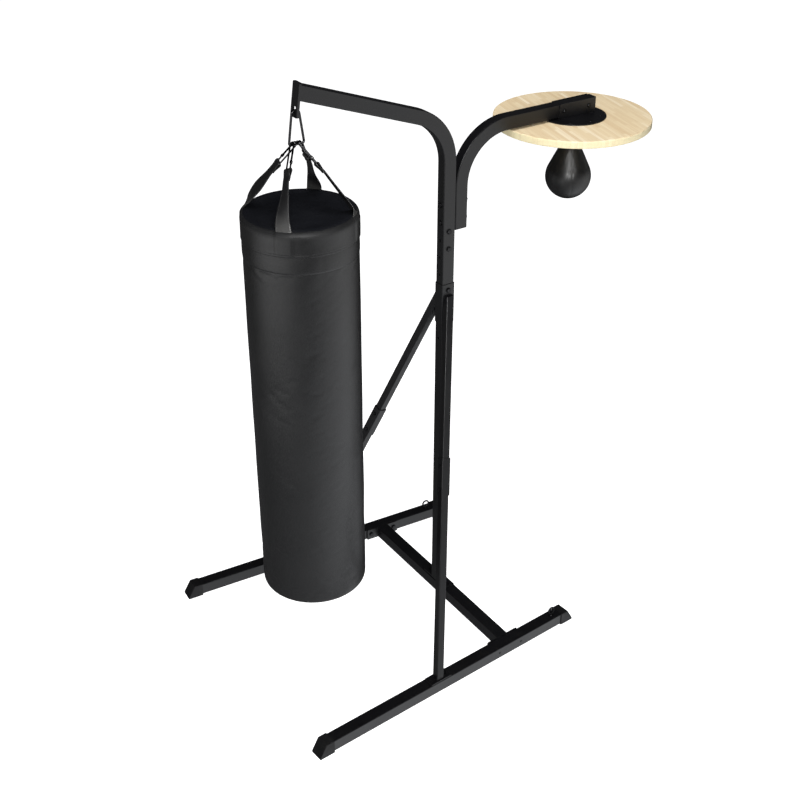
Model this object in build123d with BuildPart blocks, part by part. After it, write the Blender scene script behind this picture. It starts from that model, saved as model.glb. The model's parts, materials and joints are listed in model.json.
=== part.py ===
from build123d import *
import os
from math import acos, atan, cos, radians, sin, sqrt

os.makedirs("parts", exist_ok=True)

# Free-standing boxing stand: a gooseneck mast carries a heavy bag on one side and a
# speed-bag platform on the other. Millimetres, +Z up, floor at Z = 0.
# +X points from the post to the platform, the legs lie at -Y (front) and +Y (rear).

# ---- base ----
LEG_TUBE = 48          # square floor legs
LEG_WALL = 2
LEG_SPLAY = 4.4        # each leg closes toward +X by this angle
LEG_AXIS_Y = 449       # leg axis to centre plane, measured beside the post
LEG_SEAM_LEFT = -823   # along the leg, where the end cap starts
LEG_SEAM_RIGHT = 264
LEG_IN_CAP = 15        # length of tube hidden in a cap
FOOT_LIFT = 3          # caps hold the tubes off the floor
CAP_LENGTH = 61
CAP_SLANT = 28         # the cap's end leans back by this at the top
CAP_WIDTH = 54
CAP_HEIGHT = 53
CROSS_WIDTH = 50
CROSS_PLATE = 6
CROSS_BOLT_X = 54
BASE_TOP = FOOT_LIFT + LEG_TUBE
EYE_ALONG = 231
EYE_RING = 13.5
EYE_WIRE = 3.5
EYE_BORE = 10.7

# ---- platform and bag stations, measured from the post ----
BOARD_X = 539.2
BOARD_RADIUS = 280
BOARD_THICK = 26
BOARD_TOP = 1881
HOOK_X = -575          # hole that carries the heavy bag
HOOK_Z = 2103

# the origin sits under the middle of the whole stand
CAP_REACH = ((CAP_LENGTH - LEG_SEAM_LEFT) * cos(radians(LEG_SPLAY))
             + CAP_WIDTH / 2 * sin(radians(LEG_SPLAY)))
POST_X = (CAP_REACH - BOARD_X - BOARD_RADIUS) / 2

# ---- post, sleeve, mast ----
TUBE_X = 50
TUBE_Y = 40
TUBE_WALL = 2.5
TUBE_CORNER = 4
FOOT_PLATE = (44, 150, 6)
FOOT_SCREW_Y = 58
POST_TOP = 1296
MAST_BOTTOM = 1298
SLEEVE_LOW = 1220
SLEEVE_HIGH = 1373
SLEEVE_WALL = 2.5
SLEEVE_GAP = 0.25
SLEEVE_FACE = TUBE_Y / 2 + SLEEVE_GAP + SLEEVE_WALL
SLEEVE_BOLT_HIGH = 1350
SLEEVE_BOLT_LOW = 1236
MAST_BEND_Z = 1820
BEND_RADIUS = 190
MAST_RISE = 19.66      # the arm's slope above level
MAST_ARM = 490
HANGER_LEAN = 8
HANGER_THICK = 8
HANGER_UP = 83
HANGER_DOWN = 26
HANGER_HOLE = 11
ARM_HOLE_TOP = 1668
ARM_HOLE_PITCH = 65
SIDE_BOLTS = (1507, 1572)
POST_SPARE_HOLE = 1156

# ---- braces ----
BRACE_TUBE = 30
BRACE_WALL = 2
BRACE_SLEEVE = 36
BRACE_FOOT_X = -337
BRACE_TOP_Z = 1323
BRACE_SPLIT = 640      # from the top end to the joint between upper and lower tubes
BRACE_SLEEVE_SPAN = (575, 711)
BRACE_BOLTS = (605, 690)
BRACE_FOOT = (94, 44, 3)
BRACE_FOOT_SCREW = 33

# ---- speed arm and platform ----
ARM_X = 50.2
ARM_BOTTOM = 1574
ARM_LEVEL = 1913
ARM_END = 624.4
BRACKET_PLATE_R = 120
BRACKET_PLATE = 4
BRACKET_LEFT = 461
BRACKET_RIGHT = 620
BRACKET_SIDE = 4
BRACKET_BOLTS = (481, 593)
BOARD_SCREWS = 8
BOARD_SCREW_R = 98

# ---- swivel and speed ball ----
BOARD_LOW = BOARD_TOP - BOARD_THICK
SWIVEL_SCREW_R = 28
HUB_LOW = BOARD_LOW - 22
STEM_R = 6
HEAD_R = 10
FORK_Z = BOARD_LOW - 42
RING_Z = BOARD_LOW - 62
BALL_BOTTOM = 1574
BALL_RADIUS = 83
BALL_WIDEST = 1656
BALL_CONE = (75, 1692)   # radius and height where the straight shoulder starts
BALL_NECK = (39, 1767)
BALL_TOP = RING_Z - 14
BALL_SKIN = 3

# ---- heavy bag ----
LINK_WIRE = 8
LINK_TOP_RADIUS = 14
LINK_BAR_Z = 1991
LINK_HALF = 27
LINK_CORNER = 7
SNAP_WIRE = 5.5
SNAP_RADIUS = 8.75
SNAP_LENGTH = 72
SNAP_TILT = 41
SNAP_NOSE = 13
SNAP_PIVOT = 54
BAG_RADIUS = 189.5
BAG_TOP = 1779
BAG_BOTTOM = 331
BAG_SKIN = 3
BAG_COLLAR = 85
BAG_LID_DROP = 3
BAG_EDGE = 18
STRAP_THICK = 3
STRAP_TOP_WIDE = 26
STRAP_WIDE = 48
STRAP_DOWN = 78

# ---- fasteners ----
M10 = 5
M8 = 4
M6 = 3
HOLE_GAP = 0.5

SIDES = (("front", -1), ("rear", 1))
CORNERS = (("back", 1, 1), ("left", -1, 1), ("front", -1, -1), ("right", 1, -1))


def save(piece, label):
    piece.part.label = label
    export_step(piece.part, f"parts/{label}.step")


def leg_plane(side, along=0, height=0):
    """Plane on a leg's axis: local x runs along the leg toward +X, local z is up."""
    lean = -side * radians(LEG_SPLAY)
    x_dir = (cos(lean), sin(lean), 0)
    origin = (POST_X + along * cos(lean), side * LEG_AXIS_Y + along * sin(lean), height)
    return Plane(origin=origin, x_dir=x_dir, z_dir=(0, 0, 1))


def hex_bolt(plane, radius, length, nut_at=None):
    """Hex bolt: the head stands on the plane's +z side, the shank runs down its -z."""
    with BuildPart() as bolt:
        with BuildSketch(plane):
            RegularPolygon(radius * 1.75, 6)
        extrude(amount=radius * 1.2)
        chamfer(bolt.faces().sort_by(Axis(plane.origin, plane.z_dir))[-1].edges(), radius * 0.15)
        with BuildSketch(plane):
            Circle(radius * 2.1)
        extrude(amount=radius * 0.3)
        with BuildSketch(plane):
            Circle(radius - 0.05)
        extrude(amount=-length)
        chamfer(bolt.faces().sort_by(Axis(plane.origin, plane.z_dir))[0].edges(), radius * 0.2)
    return bolt.part


def hex_nut(plane, radius):
    """Flange nut standing on the plane's +z side, bored to clear its bolt."""
    with BuildPart() as nut:
        with BuildSketch(plane):
            Circle(radius * 2.1)
        extrude(amount=radius * 0.3)
        with BuildSketch(plane):
            RegularPolygon(radius * 1.75, 6)
        extrude(amount=radius * 1.5)
        chamfer(nut.faces().sort_by(Axis(plane.origin, plane.z_dir))[-1].edges(), radius * 0.15)
        with BuildSketch(plane):
            Circle(radius)
        extrude(amount=radius * 1.5, mode=Mode.SUBTRACT)
    return nut.part


def pan_screw(plane, radius, length):
    """Pan-head screw with a cross recess, its head on the plane's +z side."""
    with BuildPart() as screw:
        with BuildSketch(plane):
            Circle(radius * 2)
        extrude(amount=radius * 0.8)
        fillet(screw.faces().sort_by(Axis(plane.origin, plane.z_dir))[-1].edges(), radius * 0.6)
        with BuildSketch(plane.offset(radius * 0.4)):
            Rectangle(radius * 2, radius * 0.4)
            Rectangle(radius * 0.4, radius * 2)
        extrude(amount=radius, mode=Mode.SUBTRACT)
        with BuildSketch(plane):
            Circle(radius - 0.05)
        extrude(amount=-length)
    return screw.part


def group(solids, label):
    with BuildPart() as fasteners:
        add(solids)
    save(fasteners, label)


# ==== base ====

def leg(side):
    length = LEG_SEAM_RIGHT - LEG_SEAM_LEFT + 2 * LEG_IN_CAP
    start = leg_plane(side, LEG_SEAM_LEFT - LEG_IN_CAP, FOOT_LIFT + LEG_TUBE / 2)
    section = Plane(origin=start.origin, x_dir=(0, 0, 1), z_dir=start.x_dir)
    with BuildPart() as tube:
        with BuildSketch(section):
            RectangleRounded(LEG_TUBE, LEG_TUBE, TUBE_CORNER)
            RectangleRounded(LEG_TUBE - 2 * LEG_WALL, LEG_TUBE - 2 * LEG_WALL,
                             TUBE_CORNER - LEG_WALL, mode=Mode.SUBTRACT)
        extrude(amount=length)
        for bolt_x in (-CROSS_BOLT_X, CROSS_BOLT_X):
            with BuildSketch(cross_bolt_plane(side, bolt_x, LEG_TUBE / 2 + 1)):
                Circle(M10 + HOLE_GAP)
            extrude(amount=-LEG_TUBE - 2, mode=Mode.SUBTRACT)
        with BuildSketch(leg_plane(side, brace_foot_along(), BASE_TOP + 1)):
            with GridLocations(2 * BRACE_FOOT_SCREW, 0, 2, 1):
                Circle(M6 + HOLE_GAP)
        extrude(amount=-LEG_WALL - 2, mode=Mode.SUBTRACT)
        with BuildSketch(leg_plane(side, EYE_ALONG, BASE_TOP + 1)):
            Circle(M10 + HOLE_GAP)
        extrude(amount=-LEG_TUBE - 2, mode=Mode.SUBTRACT)
    return tube


def cross_bolt_plane(side, along, out):
    """Upright plane beside a leg, facing away from the stand's middle."""
    base = leg_plane(side, along, FOOT_LIFT + LEG_TUBE / 2)
    outward = base.y_dir * side
    return Plane(origin=base.origin + outward * out, x_dir=base.x_dir, z_dir=outward)


def end_cap(side, end):
    """Moulded cap: a socket for the tube, then a solid nose that slopes to the floor."""
    seam = LEG_SEAM_RIGHT if end > 0 else LEG_SEAM_LEFT
    at = leg_plane(side, seam)
    out = at.x_dir * end
    profile = Plane(origin=at.origin, x_dir=out, z_dir=out.cross(Vector(0, 0, 1)))
    with BuildPart() as cap:
        with BuildSketch(profile):
            with BuildLine():
                Polyline((0, 0), (CAP_LENGTH, 0), (CAP_LENGTH, 6),
                         (CAP_LENGTH - CAP_SLANT, CAP_HEIGHT), (0, CAP_HEIGHT), close=True)
            make_face()
        extrude(amount=CAP_WIDTH / 2, both=True)
        nose = cap.edges().filter_by(lambda e: (e.center() - at.origin).dot(out) > 3)
        fillet(nose.filter_by(lambda e: e.center().Z > 1), 2.5)
        with BuildSketch(Plane(origin=at.origin + Vector(0, 0, BASE_TOP - LEG_TUBE / 2),
                               x_dir=(0, 0, 1), z_dir=out)):
            RectangleRounded(LEG_TUBE + 0.2, LEG_TUBE + 0.2, TUBE_CORNER)
        extrude(amount=LEG_IN_CAP + 0.2, mode=Mode.SUBTRACT)
    return cap


def crossbar():
    inner = LEG_AXIS_Y - LEG_TUBE / 2 - CROSS_PLATE / 2
    with BuildPart() as bar:
        with BuildSketch(Plane(origin=(POST_X, -inner, FOOT_LIFT + LEG_TUBE / 2),
                               x_dir=(1, 0, 0), z_dir=(0, 1, 0))):
            RectangleRounded(CROSS_WIDTH, LEG_TUBE, TUBE_CORNER)
        extrude(amount=2 * inner)
        for name, side in SIDES:
            with BuildSketch(cross_bolt_plane(side, 0, -LEG_TUBE / 2 - 0.05)):
                Rectangle(2 * CROSS_BOLT_X + 36, LEG_TUBE)
            extrude(amount=-CROSS_PLATE)
            with BuildSketch(cross_bolt_plane(side, 0, -LEG_TUBE / 2)):
                with GridLocations(2 * CROSS_BOLT_X, 0, 2, 1):
                    Circle(M10 + HOLE_GAP)
            extrude(amount=-CROSS_PLATE - 1, mode=Mode.SUBTRACT)
        with BuildSketch(Plane(origin=(POST_X, -inner - 30, FOOT_LIFT + LEG_TUBE / 2),
                               x_dir=(1, 0, 0), z_dir=(0, 1, 0))):
            RectangleRounded(CROSS_WIDTH - 5, LEG_TUBE - 5, 1.5)
        extrude(amount=2 * inner + 60, mode=Mode.SUBTRACT)
        with BuildSketch(Plane.XY.offset(BASE_TOP + 1)):
            with Locations((POST_X, -FOOT_SCREW_Y), (POST_X, FOOT_SCREW_Y)):
                Circle(M8 + HOLE_GAP)
        extrude(amount=-5, mode=Mode.SUBTRACT)
    return bar


def crossbar_fasteners():
    """Bolts from the inner side that screw into nuts fixed in the legs' outer walls."""
    grip = LEG_TUBE + CROSS_PLATE
    bolts = []
    nuts = []
    for name, side in SIDES:
        for bolt_x in (-CROSS_BOLT_X, CROSS_BOLT_X):
            inside = cross_bolt_plane(side, bolt_x, LEG_TUBE / 2 - grip - 0.1)
            head = Plane(origin=inside.origin, x_dir=inside.x_dir, z_dir=-inside.z_dir)
            bolts.append(hex_bolt(head, M10, grip + 1.5))
            wall = cross_bolt_plane(side, bolt_x, LEG_TUBE / 2 - LEG_WALL - 0.05)
            nuts.append(hex_nut(Plane(origin=wall.origin, x_dir=wall.x_dir,
                                      z_dir=-wall.z_dir), M10))
    group(bolts, "crossbar_bolts")
    return nuts


def eye_bolt(side):
    """Ring, collar and threaded shank, with the ring standing across the leg."""
    foot = leg_plane(side, EYE_ALONG, BASE_TOP + 0.05)
    ring_centre = foot.origin + Vector(0, 0, 6 + EYE_RING)
    ring_plane = Plane(origin=ring_centre, x_dir=foot.x_dir, z_dir=foot.y_dir)
    with BuildPart() as eye:
        with BuildSketch(foot):
            Circle(10)
        extrude(amount=5)
        chamfer(eye.faces().sort_by(Axis.Z)[-1].edges(), 1.5)
        with BuildSketch(Plane(origin=ring_centre + foot.x_dir * EYE_RING,
                               x_dir=foot.x_dir, z_dir=(0, 0, 1))):
            Circle(EYE_WIRE)
        revolve(axis=Axis(ring_centre, ring_plane.z_dir), revolution_arc=360)
        with BuildSketch(ring_plane):
            Circle(EYE_BORE)
        extrude(amount=2 * EYE_WIRE, both=True, mode=Mode.SUBTRACT)
        with BuildSketch(foot):
            Circle(M10 - 0.05)
        extrude(amount=-LEG_TUBE + 6)
    return eye


def eye_nut(side):
    inside = leg_plane(side, EYE_ALONG, BASE_TOP - LEG_WALL - 0.05)
    return hex_nut(Plane(origin=inside.origin, x_dir=inside.x_dir, z_dir=(0, 0, -1)), M10)


# ==== post, sleeve and mast ====

def tube_section(plane, wide, deep, wall, corner):
    with BuildSketch(plane) as section:
        RectangleRounded(wide, deep, corner)
        RectangleRounded(wide - 2 * wall, deep - 2 * wall, corner - wall, mode=Mode.SUBTRACT)
    return section.sketch


def lower_post():
    foot_top = BASE_TOP + FOOT_PLATE[2]
    with BuildPart() as post:
        with BuildSketch(Plane.XY.offset(BASE_TOP)):
            with Locations((POST_X, 0)):
                RectangleRounded(FOOT_PLATE[0], FOOT_PLATE[1], 3)
                with Locations((0, -FOOT_SCREW_Y), (0, FOOT_SCREW_Y)):
                    Circle(M8 + HOLE_GAP, mode=Mode.SUBTRACT)
        extrude(amount=FOOT_PLATE[2])
        extrude(tube_section(Plane((POST_X, 0, foot_top - 1)), TUBE_X, TUBE_Y, TUBE_WALL,
                             TUBE_CORNER), amount=POST_TOP - foot_top + 1)
        with BuildSketch(Plane((POST_X, 0, POST_SPARE_HOLE), x_dir=(0, 1, 0), z_dir=(1, 0, 0))):
            Circle(M10 + HOLE_GAP)
        extrude(amount=TUBE_X, both=True, mode=Mode.SUBTRACT)
        with BuildSketch(Plane((POST_X, 0, SLEEVE_BOLT_LOW), x_dir=(1, 0, 0), z_dir=(0, -1, 0))):
            Circle(M10 + HOLE_GAP)
        extrude(amount=TUBE_Y, both=True, mode=Mode.SUBTRACT)
    return post


def post_foot_fasteners():
    bolts = []
    nuts = []
    for screw_y in (-FOOT_SCREW_Y, FOOT_SCREW_Y):
        top = Plane((POST_X, screw_y, BASE_TOP + FOOT_PLATE[2] + 0.05))
        bolts.append(hex_bolt(top, M8, 18))
        under = Plane((POST_X, screw_y, BASE_TOP - 2.55), x_dir=(1, 0, 0), z_dir=(0, 0, -1))
        nuts.append(hex_nut(under, M8))
    group(bolts, "post_foot_bolts")
    return nuts


def post_sleeve():
    inner_x = TUBE_X + 2 * SLEEVE_GAP
    inner_y = TUBE_Y + 2 * SLEEVE_GAP
    with BuildPart() as sleeve:
        with BuildSketch(Plane((POST_X, 0, SLEEVE_LOW))):
            RectangleRounded(inner_x + 2 * SLEEVE_WALL, inner_y + 2 * SLEEVE_WALL, 6)
            RectangleRounded(inner_x, inner_y, TUBE_CORNER, mode=Mode.SUBTRACT)
        extrude(amount=SLEEVE_HIGH - SLEEVE_LOW)
        for bolt_z in (SLEEVE_BOLT_LOW, SLEEVE_BOLT_HIGH):
            with BuildSketch(Plane((POST_X, 0, bolt_z), x_dir=(1, 0, 0), z_dir=(0, -1, 0))):
                Circle(M10 + HOLE_GAP)
            extrude(amount=TUBE_Y, both=True, mode=Mode.SUBTRACT)
    return sleeve


def sleeve_fasteners():
    """One bolt holds the sleeve to the lower post, one holds it to the mast."""
    bolts = []
    nuts = []
    face = SLEEVE_FACE + 0.05
    for bolt_z in (SLEEVE_BOLT_LOW, SLEEVE_BOLT_HIGH):
        front = Plane((POST_X, -face, bolt_z), x_dir=(1, 0, 0), z_dir=(0, -1, 0))
        back = Plane((POST_X, face, bolt_z), x_dir=(1, 0, 0), z_dir=(0, 1, 0))
        bolts.append(hex_bolt(front, M10, 2 * face + 8.5))
        nuts.append(hex_nut(back, M10))
    group(bolts, "sleeve_bolts")
    return nuts


def hanger_plane():
    """Outer face of the mast's end plate, centred on the bag hole, local y up."""
    lean = radians(HANGER_LEAN)
    return Plane(origin=(POST_X + HOOK_X, 0, HOOK_Z), x_dir=(0, -1, 0),
                 z_dir=(-cos(lean), 0, sin(lean)))


def mast():
    face = hanger_plane()
    with BuildPart() as neck:
        with BuildLine(Plane.XZ) as route:
            riser = Line((POST_X, MAST_BOTTOM), (POST_X, MAST_BEND_Z))
            bend = JernArc(riser @ 1, riser % 1, BEND_RADIUS, 90 - MAST_RISE)
            Line(bend @ 1, bend @ 1 + (bend % 1) * MAST_ARM)
        sweep(tube_section(Plane((POST_X, 0, MAST_BOTTOM)), TUBE_X, TUBE_Y, TUBE_WALL,
                           TUBE_CORNER), path=route.wire())
        split(bisect_by=face.offset(-HANGER_THICK / 2), keep=Keep.BOTTOM)
        with BuildSketch(face):
            with Locations((0, (HANGER_UP - HANGER_DOWN) / 2)):
                RectangleRounded(TUBE_Y, HANGER_UP + HANGER_DOWN, 5)
        extrude(amount=-HANGER_THICK)
        with BuildSketch(face.offset(1)):
            Circle(HANGER_HOLE)
        extrude(amount=-HANGER_THICK - 2, mode=Mode.SUBTRACT)
        for step in range(5):
            hole_z = ARM_HOLE_TOP - step * ARM_HOLE_PITCH
            with BuildSketch(Plane((POST_X, 0, hole_z), x_dir=(0, 1, 0), z_dir=(1, 0, 0))):
                Circle(M10 + HOLE_GAP)
            extrude(amount=TUBE_X, both=True, mode=Mode.SUBTRACT)
        for bolt_z in SIDE_BOLTS + (SLEEVE_BOLT_HIGH,):
            with BuildSketch(Plane((POST_X, 0, bolt_z), x_dir=(1, 0, 0), z_dir=(0, -1, 0))):
                Circle(M10 + HOLE_GAP)
            extrude(amount=TUBE_Y, both=True, mode=Mode.SUBTRACT)
    return neck


def mast_side_fasteners():
    bolts = []
    nuts = []
    for bolt_z in SIDE_BOLTS:
        front = Plane((POST_X, -TUBE_Y / 2 - 0.05, bolt_z), x_dir=(1, 0, 0), z_dir=(0, -1, 0))
        back = Plane((POST_X, TUBE_Y / 2 + 0.05, bolt_z), x_dir=(1, 0, 0), z_dir=(0, 1, 0))
        bolts.append(hex_bolt(front, M10, TUBE_Y + 10))
        nuts.append(hex_nut(back, M10))
    group(bolts, "mast_side_bolts")
    return nuts


# ==== braces ====

def brace_foot_along():
    return BRACE_FOOT_X / cos(radians(LEG_SPLAY))


def brace_plane(side, along=0):
    """Square to a brace at a distance from its top end, local z down the brace."""
    foot = leg_plane(side, brace_foot_along(), BASE_TOP).origin
    top = Vector(POST_X, side * SLEEVE_FACE, BRACE_TOP_Z)
    down = (foot - top).normalized()
    across = (Vector(1, 0, 0) - down * down.X).normalized()
    return Plane(origin=top + down * along, x_dir=across, z_dir=down)


def brace_length(side):
    foot = leg_plane(side, brace_foot_along(), BASE_TOP).origin
    return (foot - brace_plane(side).origin).length


def brace_bolt_plane(side, along, out):
    """Plane over a brace's -X face, facing out of it."""
    at = brace_plane(side, along)
    return Plane(origin=at.origin - at.x_dir * out, x_dir=at.z_dir, z_dir=-at.x_dir)


def brace_upper(side):
    """Tube mitred flat against the sleeve it is welded to, with a level top end."""
    weld = Plane((POST_X, side * (SLEEVE_FACE + 0.05), BRACE_TOP_Z), x_dir=(1, 0, 0),
                 z_dir=(0, side, 0))
    inner = BRACE_TUBE - 2 * BRACE_WALL
    with BuildPart() as upper:
        with BuildSketch(brace_plane(side, -60)):
            RectangleRounded(BRACE_TUBE, BRACE_TUBE, 4)
        extrude(amount=60 + BRACE_SPLIT - 1)
        split(bisect_by=weld, keep=Keep.TOP)
        split(bisect_by=Plane.XY.offset(BRACE_TOP_Z + 7), keep=Keep.BOTTOM)
        with BuildSketch(brace_plane(side, 30)):
            RectangleRounded(inner, inner, 2)
        extrude(amount=BRACE_SPLIT, mode=Mode.SUBTRACT)
        with BuildSketch(brace_bolt_plane(side, BRACE_BOLTS[0], BRACE_SLEEVE)):
            Circle(M8 + HOLE_GAP)
        extrude(amount=-2 * BRACE_SLEEVE, mode=Mode.SUBTRACT)
    return upper


def brace_sleeve(side):
    gap_half = BRACE_TUBE + 0.4
    with BuildPart() as sleeve:
        with BuildSketch(brace_plane(side, BRACE_SLEEVE_SPAN[0])):
            RectangleRounded(BRACE_SLEEVE, BRACE_SLEEVE, 5)
            RectangleRounded(gap_half, gap_half, 4, mode=Mode.SUBTRACT)
        extrude(amount=BRACE_SLEEVE_SPAN[1] - BRACE_SLEEVE_SPAN[0])
        for along in BRACE_BOLTS:
            with BuildSketch(brace_bolt_plane(side, along, BRACE_SLEEVE)):
                Circle(M8 + HOLE_GAP)
            extrude(amount=-2 * BRACE_SLEEVE, mode=Mode.SUBTRACT)
    return sleeve


def brace_lower(side):
    """Tube trimmed level at the bottom and welded to the plate that sits on the leg."""
    plate = leg_plane(side, brace_foot_along(), BASE_TOP + 0.05)
    with BuildPart() as lower:
        extrude(tube_section(brace_plane(side, BRACE_SPLIT + 1), BRACE_TUBE, BRACE_TUBE,
                             BRACE_WALL, 4), amount=brace_length(side) - BRACE_SPLIT + 40)
        split(bisect_by=Plane.XY.offset(BASE_TOP + BRACE_FOOT[2] - 1), keep=Keep.TOP)
        with BuildSketch(plate):
            RectangleRounded(BRACE_FOOT[0], BRACE_FOOT[1], 4)
            with GridLocations(2 * BRACE_FOOT_SCREW, 0, 2, 1):
                Circle(M6 + HOLE_GAP, mode=Mode.SUBTRACT)
        extrude(amount=BRACE_FOOT[2])
        with BuildSketch(brace_bolt_plane(side, BRACE_BOLTS[1], BRACE_SLEEVE)):
            Circle(M8 + HOLE_GAP)
        extrude(amount=-2 * BRACE_SLEEVE, mode=Mode.SUBTRACT)
    return lower


def brace_fasteners():
    bolts = []
    nuts = []
    screws = []
    half = BRACE_SLEEVE / 2 + 0.05
    for name, side in SIDES:
        for along in BRACE_BOLTS:
            bolts.append(hex_bolt(brace_bolt_plane(side, along, half), M8, 2 * half + 8))
            back = brace_bolt_plane(side, along, -half)
            nuts.append(hex_nut(Plane(back.origin, x_dir=back.x_dir, z_dir=-back.z_dir), M8))
        for step in (-BRACE_FOOT_SCREW, BRACE_FOOT_SCREW):
            top = leg_plane(side, brace_foot_along() + step, BASE_TOP + BRACE_FOOT[2] + 0.1)
            screws.append(hex_bolt(top, M6, 22))
    group(bolts, "brace_bolts")
    group(screws, "brace_foot_screws")
    return nuts


# ==== speed arm and platform ====

def speed_arm():
    with BuildPart() as arm:
        with BuildLine(Plane.XZ) as route:
            riser = Line((POST_X + ARM_X, ARM_BOTTOM), (POST_X + ARM_X, ARM_LEVEL - BEND_RADIUS))
            bend = JernArc(riser @ 1, riser % 1, BEND_RADIUS, -90)
            Line(bend @ 1, (POST_X + ARM_END, ARM_LEVEL))
        sweep(tube_section(Plane((POST_X + ARM_X, 0, ARM_BOTTOM)), TUBE_X, TUBE_Y, TUBE_WALL,
                           TUBE_CORNER), path=route.wire())
        for step in range(2):
            hole_z = ARM_HOLE_TOP - step * ARM_HOLE_PITCH
            with BuildSketch(Plane((POST_X + ARM_X, 0, hole_z), x_dir=(0, 1, 0),
                                   z_dir=(1, 0, 0))):
                Circle(M10 + HOLE_GAP)
            extrude(amount=TUBE_X, both=True, mode=Mode.SUBTRACT)
        for bolt_x in BRACKET_BOLTS:
            with BuildSketch(Plane((POST_X + bolt_x, 0, ARM_LEVEL), x_dir=(1, 0, 0),
                                   z_dir=(0, -1, 0))):
                Circle(M8 + HOLE_GAP)
            extrude(amount=TUBE_Y, both=True, mode=Mode.SUBTRACT)
    return arm


def tube_plug(plane):
    """Plastic plug: a thin lid over the tube's end and a skirt inside it."""
    with BuildPart() as plug:
        with BuildSketch(plane):
            RectangleRounded(TUBE_X, TUBE_Y, TUBE_CORNER)
        extrude(amount=3)
        chamfer(plug.faces().sort_by(Axis(plane.origin, plane.z_dir))[-1].edges(), 1)
        with BuildSketch(plane):
            RectangleRounded(TUBE_X - 2 * TUBE_WALL - 0.3, TUBE_Y - 2 * TUBE_WALL - 0.3, 1.5)
            RectangleRounded(TUBE_X - 2 * TUBE_WALL - 5, TUBE_Y - 2 * TUBE_WALL - 5, 1,
                             mode=Mode.SUBTRACT)
        extrude(amount=-14)
    return plug


def speed_arm_fasteners():
    bolts = []
    nuts = []
    for step in range(2):
        bolt_z = ARM_HOLE_TOP - step * ARM_HOLE_PITCH
        head = Plane((POST_X - TUBE_X / 2 - 0.05, 0, bolt_z), x_dir=(0, 1, 0), z_dir=(-1, 0, 0))
        tail = Plane((POST_X + ARM_X + TUBE_X / 2 + 0.05, 0, bolt_z), x_dir=(0, 1, 0),
                     z_dir=(1, 0, 0))
        bolts.append(hex_bolt(head, M10, TUBE_X + ARM_X + 12))
        nuts.append(hex_nut(tail, M10))
    group(bolts, "speed_arm_bolts")
    return nuts


def platform_bracket():
    """Round plate on the board with a channel welded on top that grips the arm."""
    outer = TUBE_Y + 2 * BRACKET_SIDE + 0.4
    length = BRACKET_RIGHT - BRACKET_LEFT
    middle = POST_X + (BRACKET_LEFT + BRACKET_RIGHT) / 2
    channel_top = ARM_LEVEL + TUBE_X / 2
    with BuildPart() as bracket:
        with BuildSketch(Plane.XY.offset(BOARD_TOP + 0.05)):
            with Locations((POST_X + BOARD_X, 0)):
                Circle(BRACKET_PLATE_R)
                with PolarLocations(BOARD_SCREW_R, BOARD_SCREWS):
                    Circle(M6 + HOLE_GAP, mode=Mode.SUBTRACT)
        extrude(amount=BRACKET_PLATE)
        plate_rim = bracket.edges().filter_by(GeomType.CIRCLE).sort_by(SortBy.RADIUS)[-2:]
        fillet(plate_rim.sort_by(Axis.Z)[-1], 1.5)
        with BuildSketch(Plane((middle, 0, BOARD_TOP + BRACKET_PLATE - 1))):
            Rectangle(length, outer)
        extrude(amount=channel_top - BOARD_TOP - BRACKET_PLATE + 1)
        with BuildSketch(Plane((middle, 0, ARM_LEVEL - TUBE_X / 2 - 0.2))):
            Rectangle(length, TUBE_Y + 0.4)
        extrude(amount=TUBE_X + 1, mode=Mode.SUBTRACT)
        for bolt_x in BRACKET_BOLTS:
            with BuildSketch(Plane((POST_X + bolt_x, 0, ARM_LEVEL), x_dir=(1, 0, 0),
                                   z_dir=(0, -1, 0))):
                Circle(M8 + HOLE_GAP)
            extrude(amount=outer, both=True, mode=Mode.SUBTRACT)
    return bracket


def bracket_fasteners():
    face = TUBE_Y / 2 + BRACKET_SIDE + 0.25
    bolts = []
    nuts = []
    for bolt_x in BRACKET_BOLTS:
        front = Plane((POST_X + bolt_x, -face, ARM_LEVEL), x_dir=(1, 0, 0), z_dir=(0, -1, 0))
        back = Plane((POST_X + bolt_x, face, ARM_LEVEL), x_dir=(1, 0, 0), z_dir=(0, 1, 0))
        bolts.append(hex_bolt(front, M8, 2 * face + 8))
        nuts.append(hex_nut(back, M8))
    group(bolts, "bracket_bolts")
    return nuts


def platform_board():
    with BuildPart() as board:
        with BuildSketch(Plane((POST_X + BOARD_X, 0, BOARD_LOW))):
            Circle(BOARD_RADIUS)
            with PolarLocations(BOARD_SCREW_R, BOARD_SCREWS):
                Circle(M6 + 1.6, mode=Mode.SUBTRACT)
            with PolarLocations(SWIVEL_SCREW_R, 4, 45):
                Circle(M6 - 1, mode=Mode.SUBTRACT)
        extrude(amount=BOARD_THICK)
        rim = board.edges().filter_by(GeomType.CIRCLE).sort_by(SortBy.RADIUS)[-2:]
        fillet(rim, 3)
    return board


def board_fasteners():
    """Machine screws from above, tee nuts pressed in from below."""
    screws = []
    nuts = []
    with PolarLocations(BOARD_SCREW_R, BOARD_SCREWS) as ring:
        spots = [place.position for place in ring.locations]
    for spot in spots:
        at = (POST_X + BOARD_X + spot.X, spot.Y)
        screws.append(pan_screw(Plane((*at, BOARD_TOP + BRACKET_PLATE + 0.1)), M6, 27))
        with BuildPart() as tee:
            with BuildSketch(Plane((*at, BOARD_LOW - 0.05), x_dir=(1, 0, 0),
                                   z_dir=(0, 0, -1))):
                Circle(9)
            extrude(amount=1.5)
            with BuildSketch(Plane((*at, BOARD_LOW - 0.1))):
                Circle(M6 + 1.5)
            extrude(amount=12)
            with BuildSketch(Plane((*at, BOARD_LOW - 2))):
                Circle(M6)
            extrude(amount=16, mode=Mode.SUBTRACT)
        nuts.append(tee.part)
    group(screws, "board_screws")
    group(nuts, "board_tee_nuts")


# ==== swivel and speed ball ====

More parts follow.
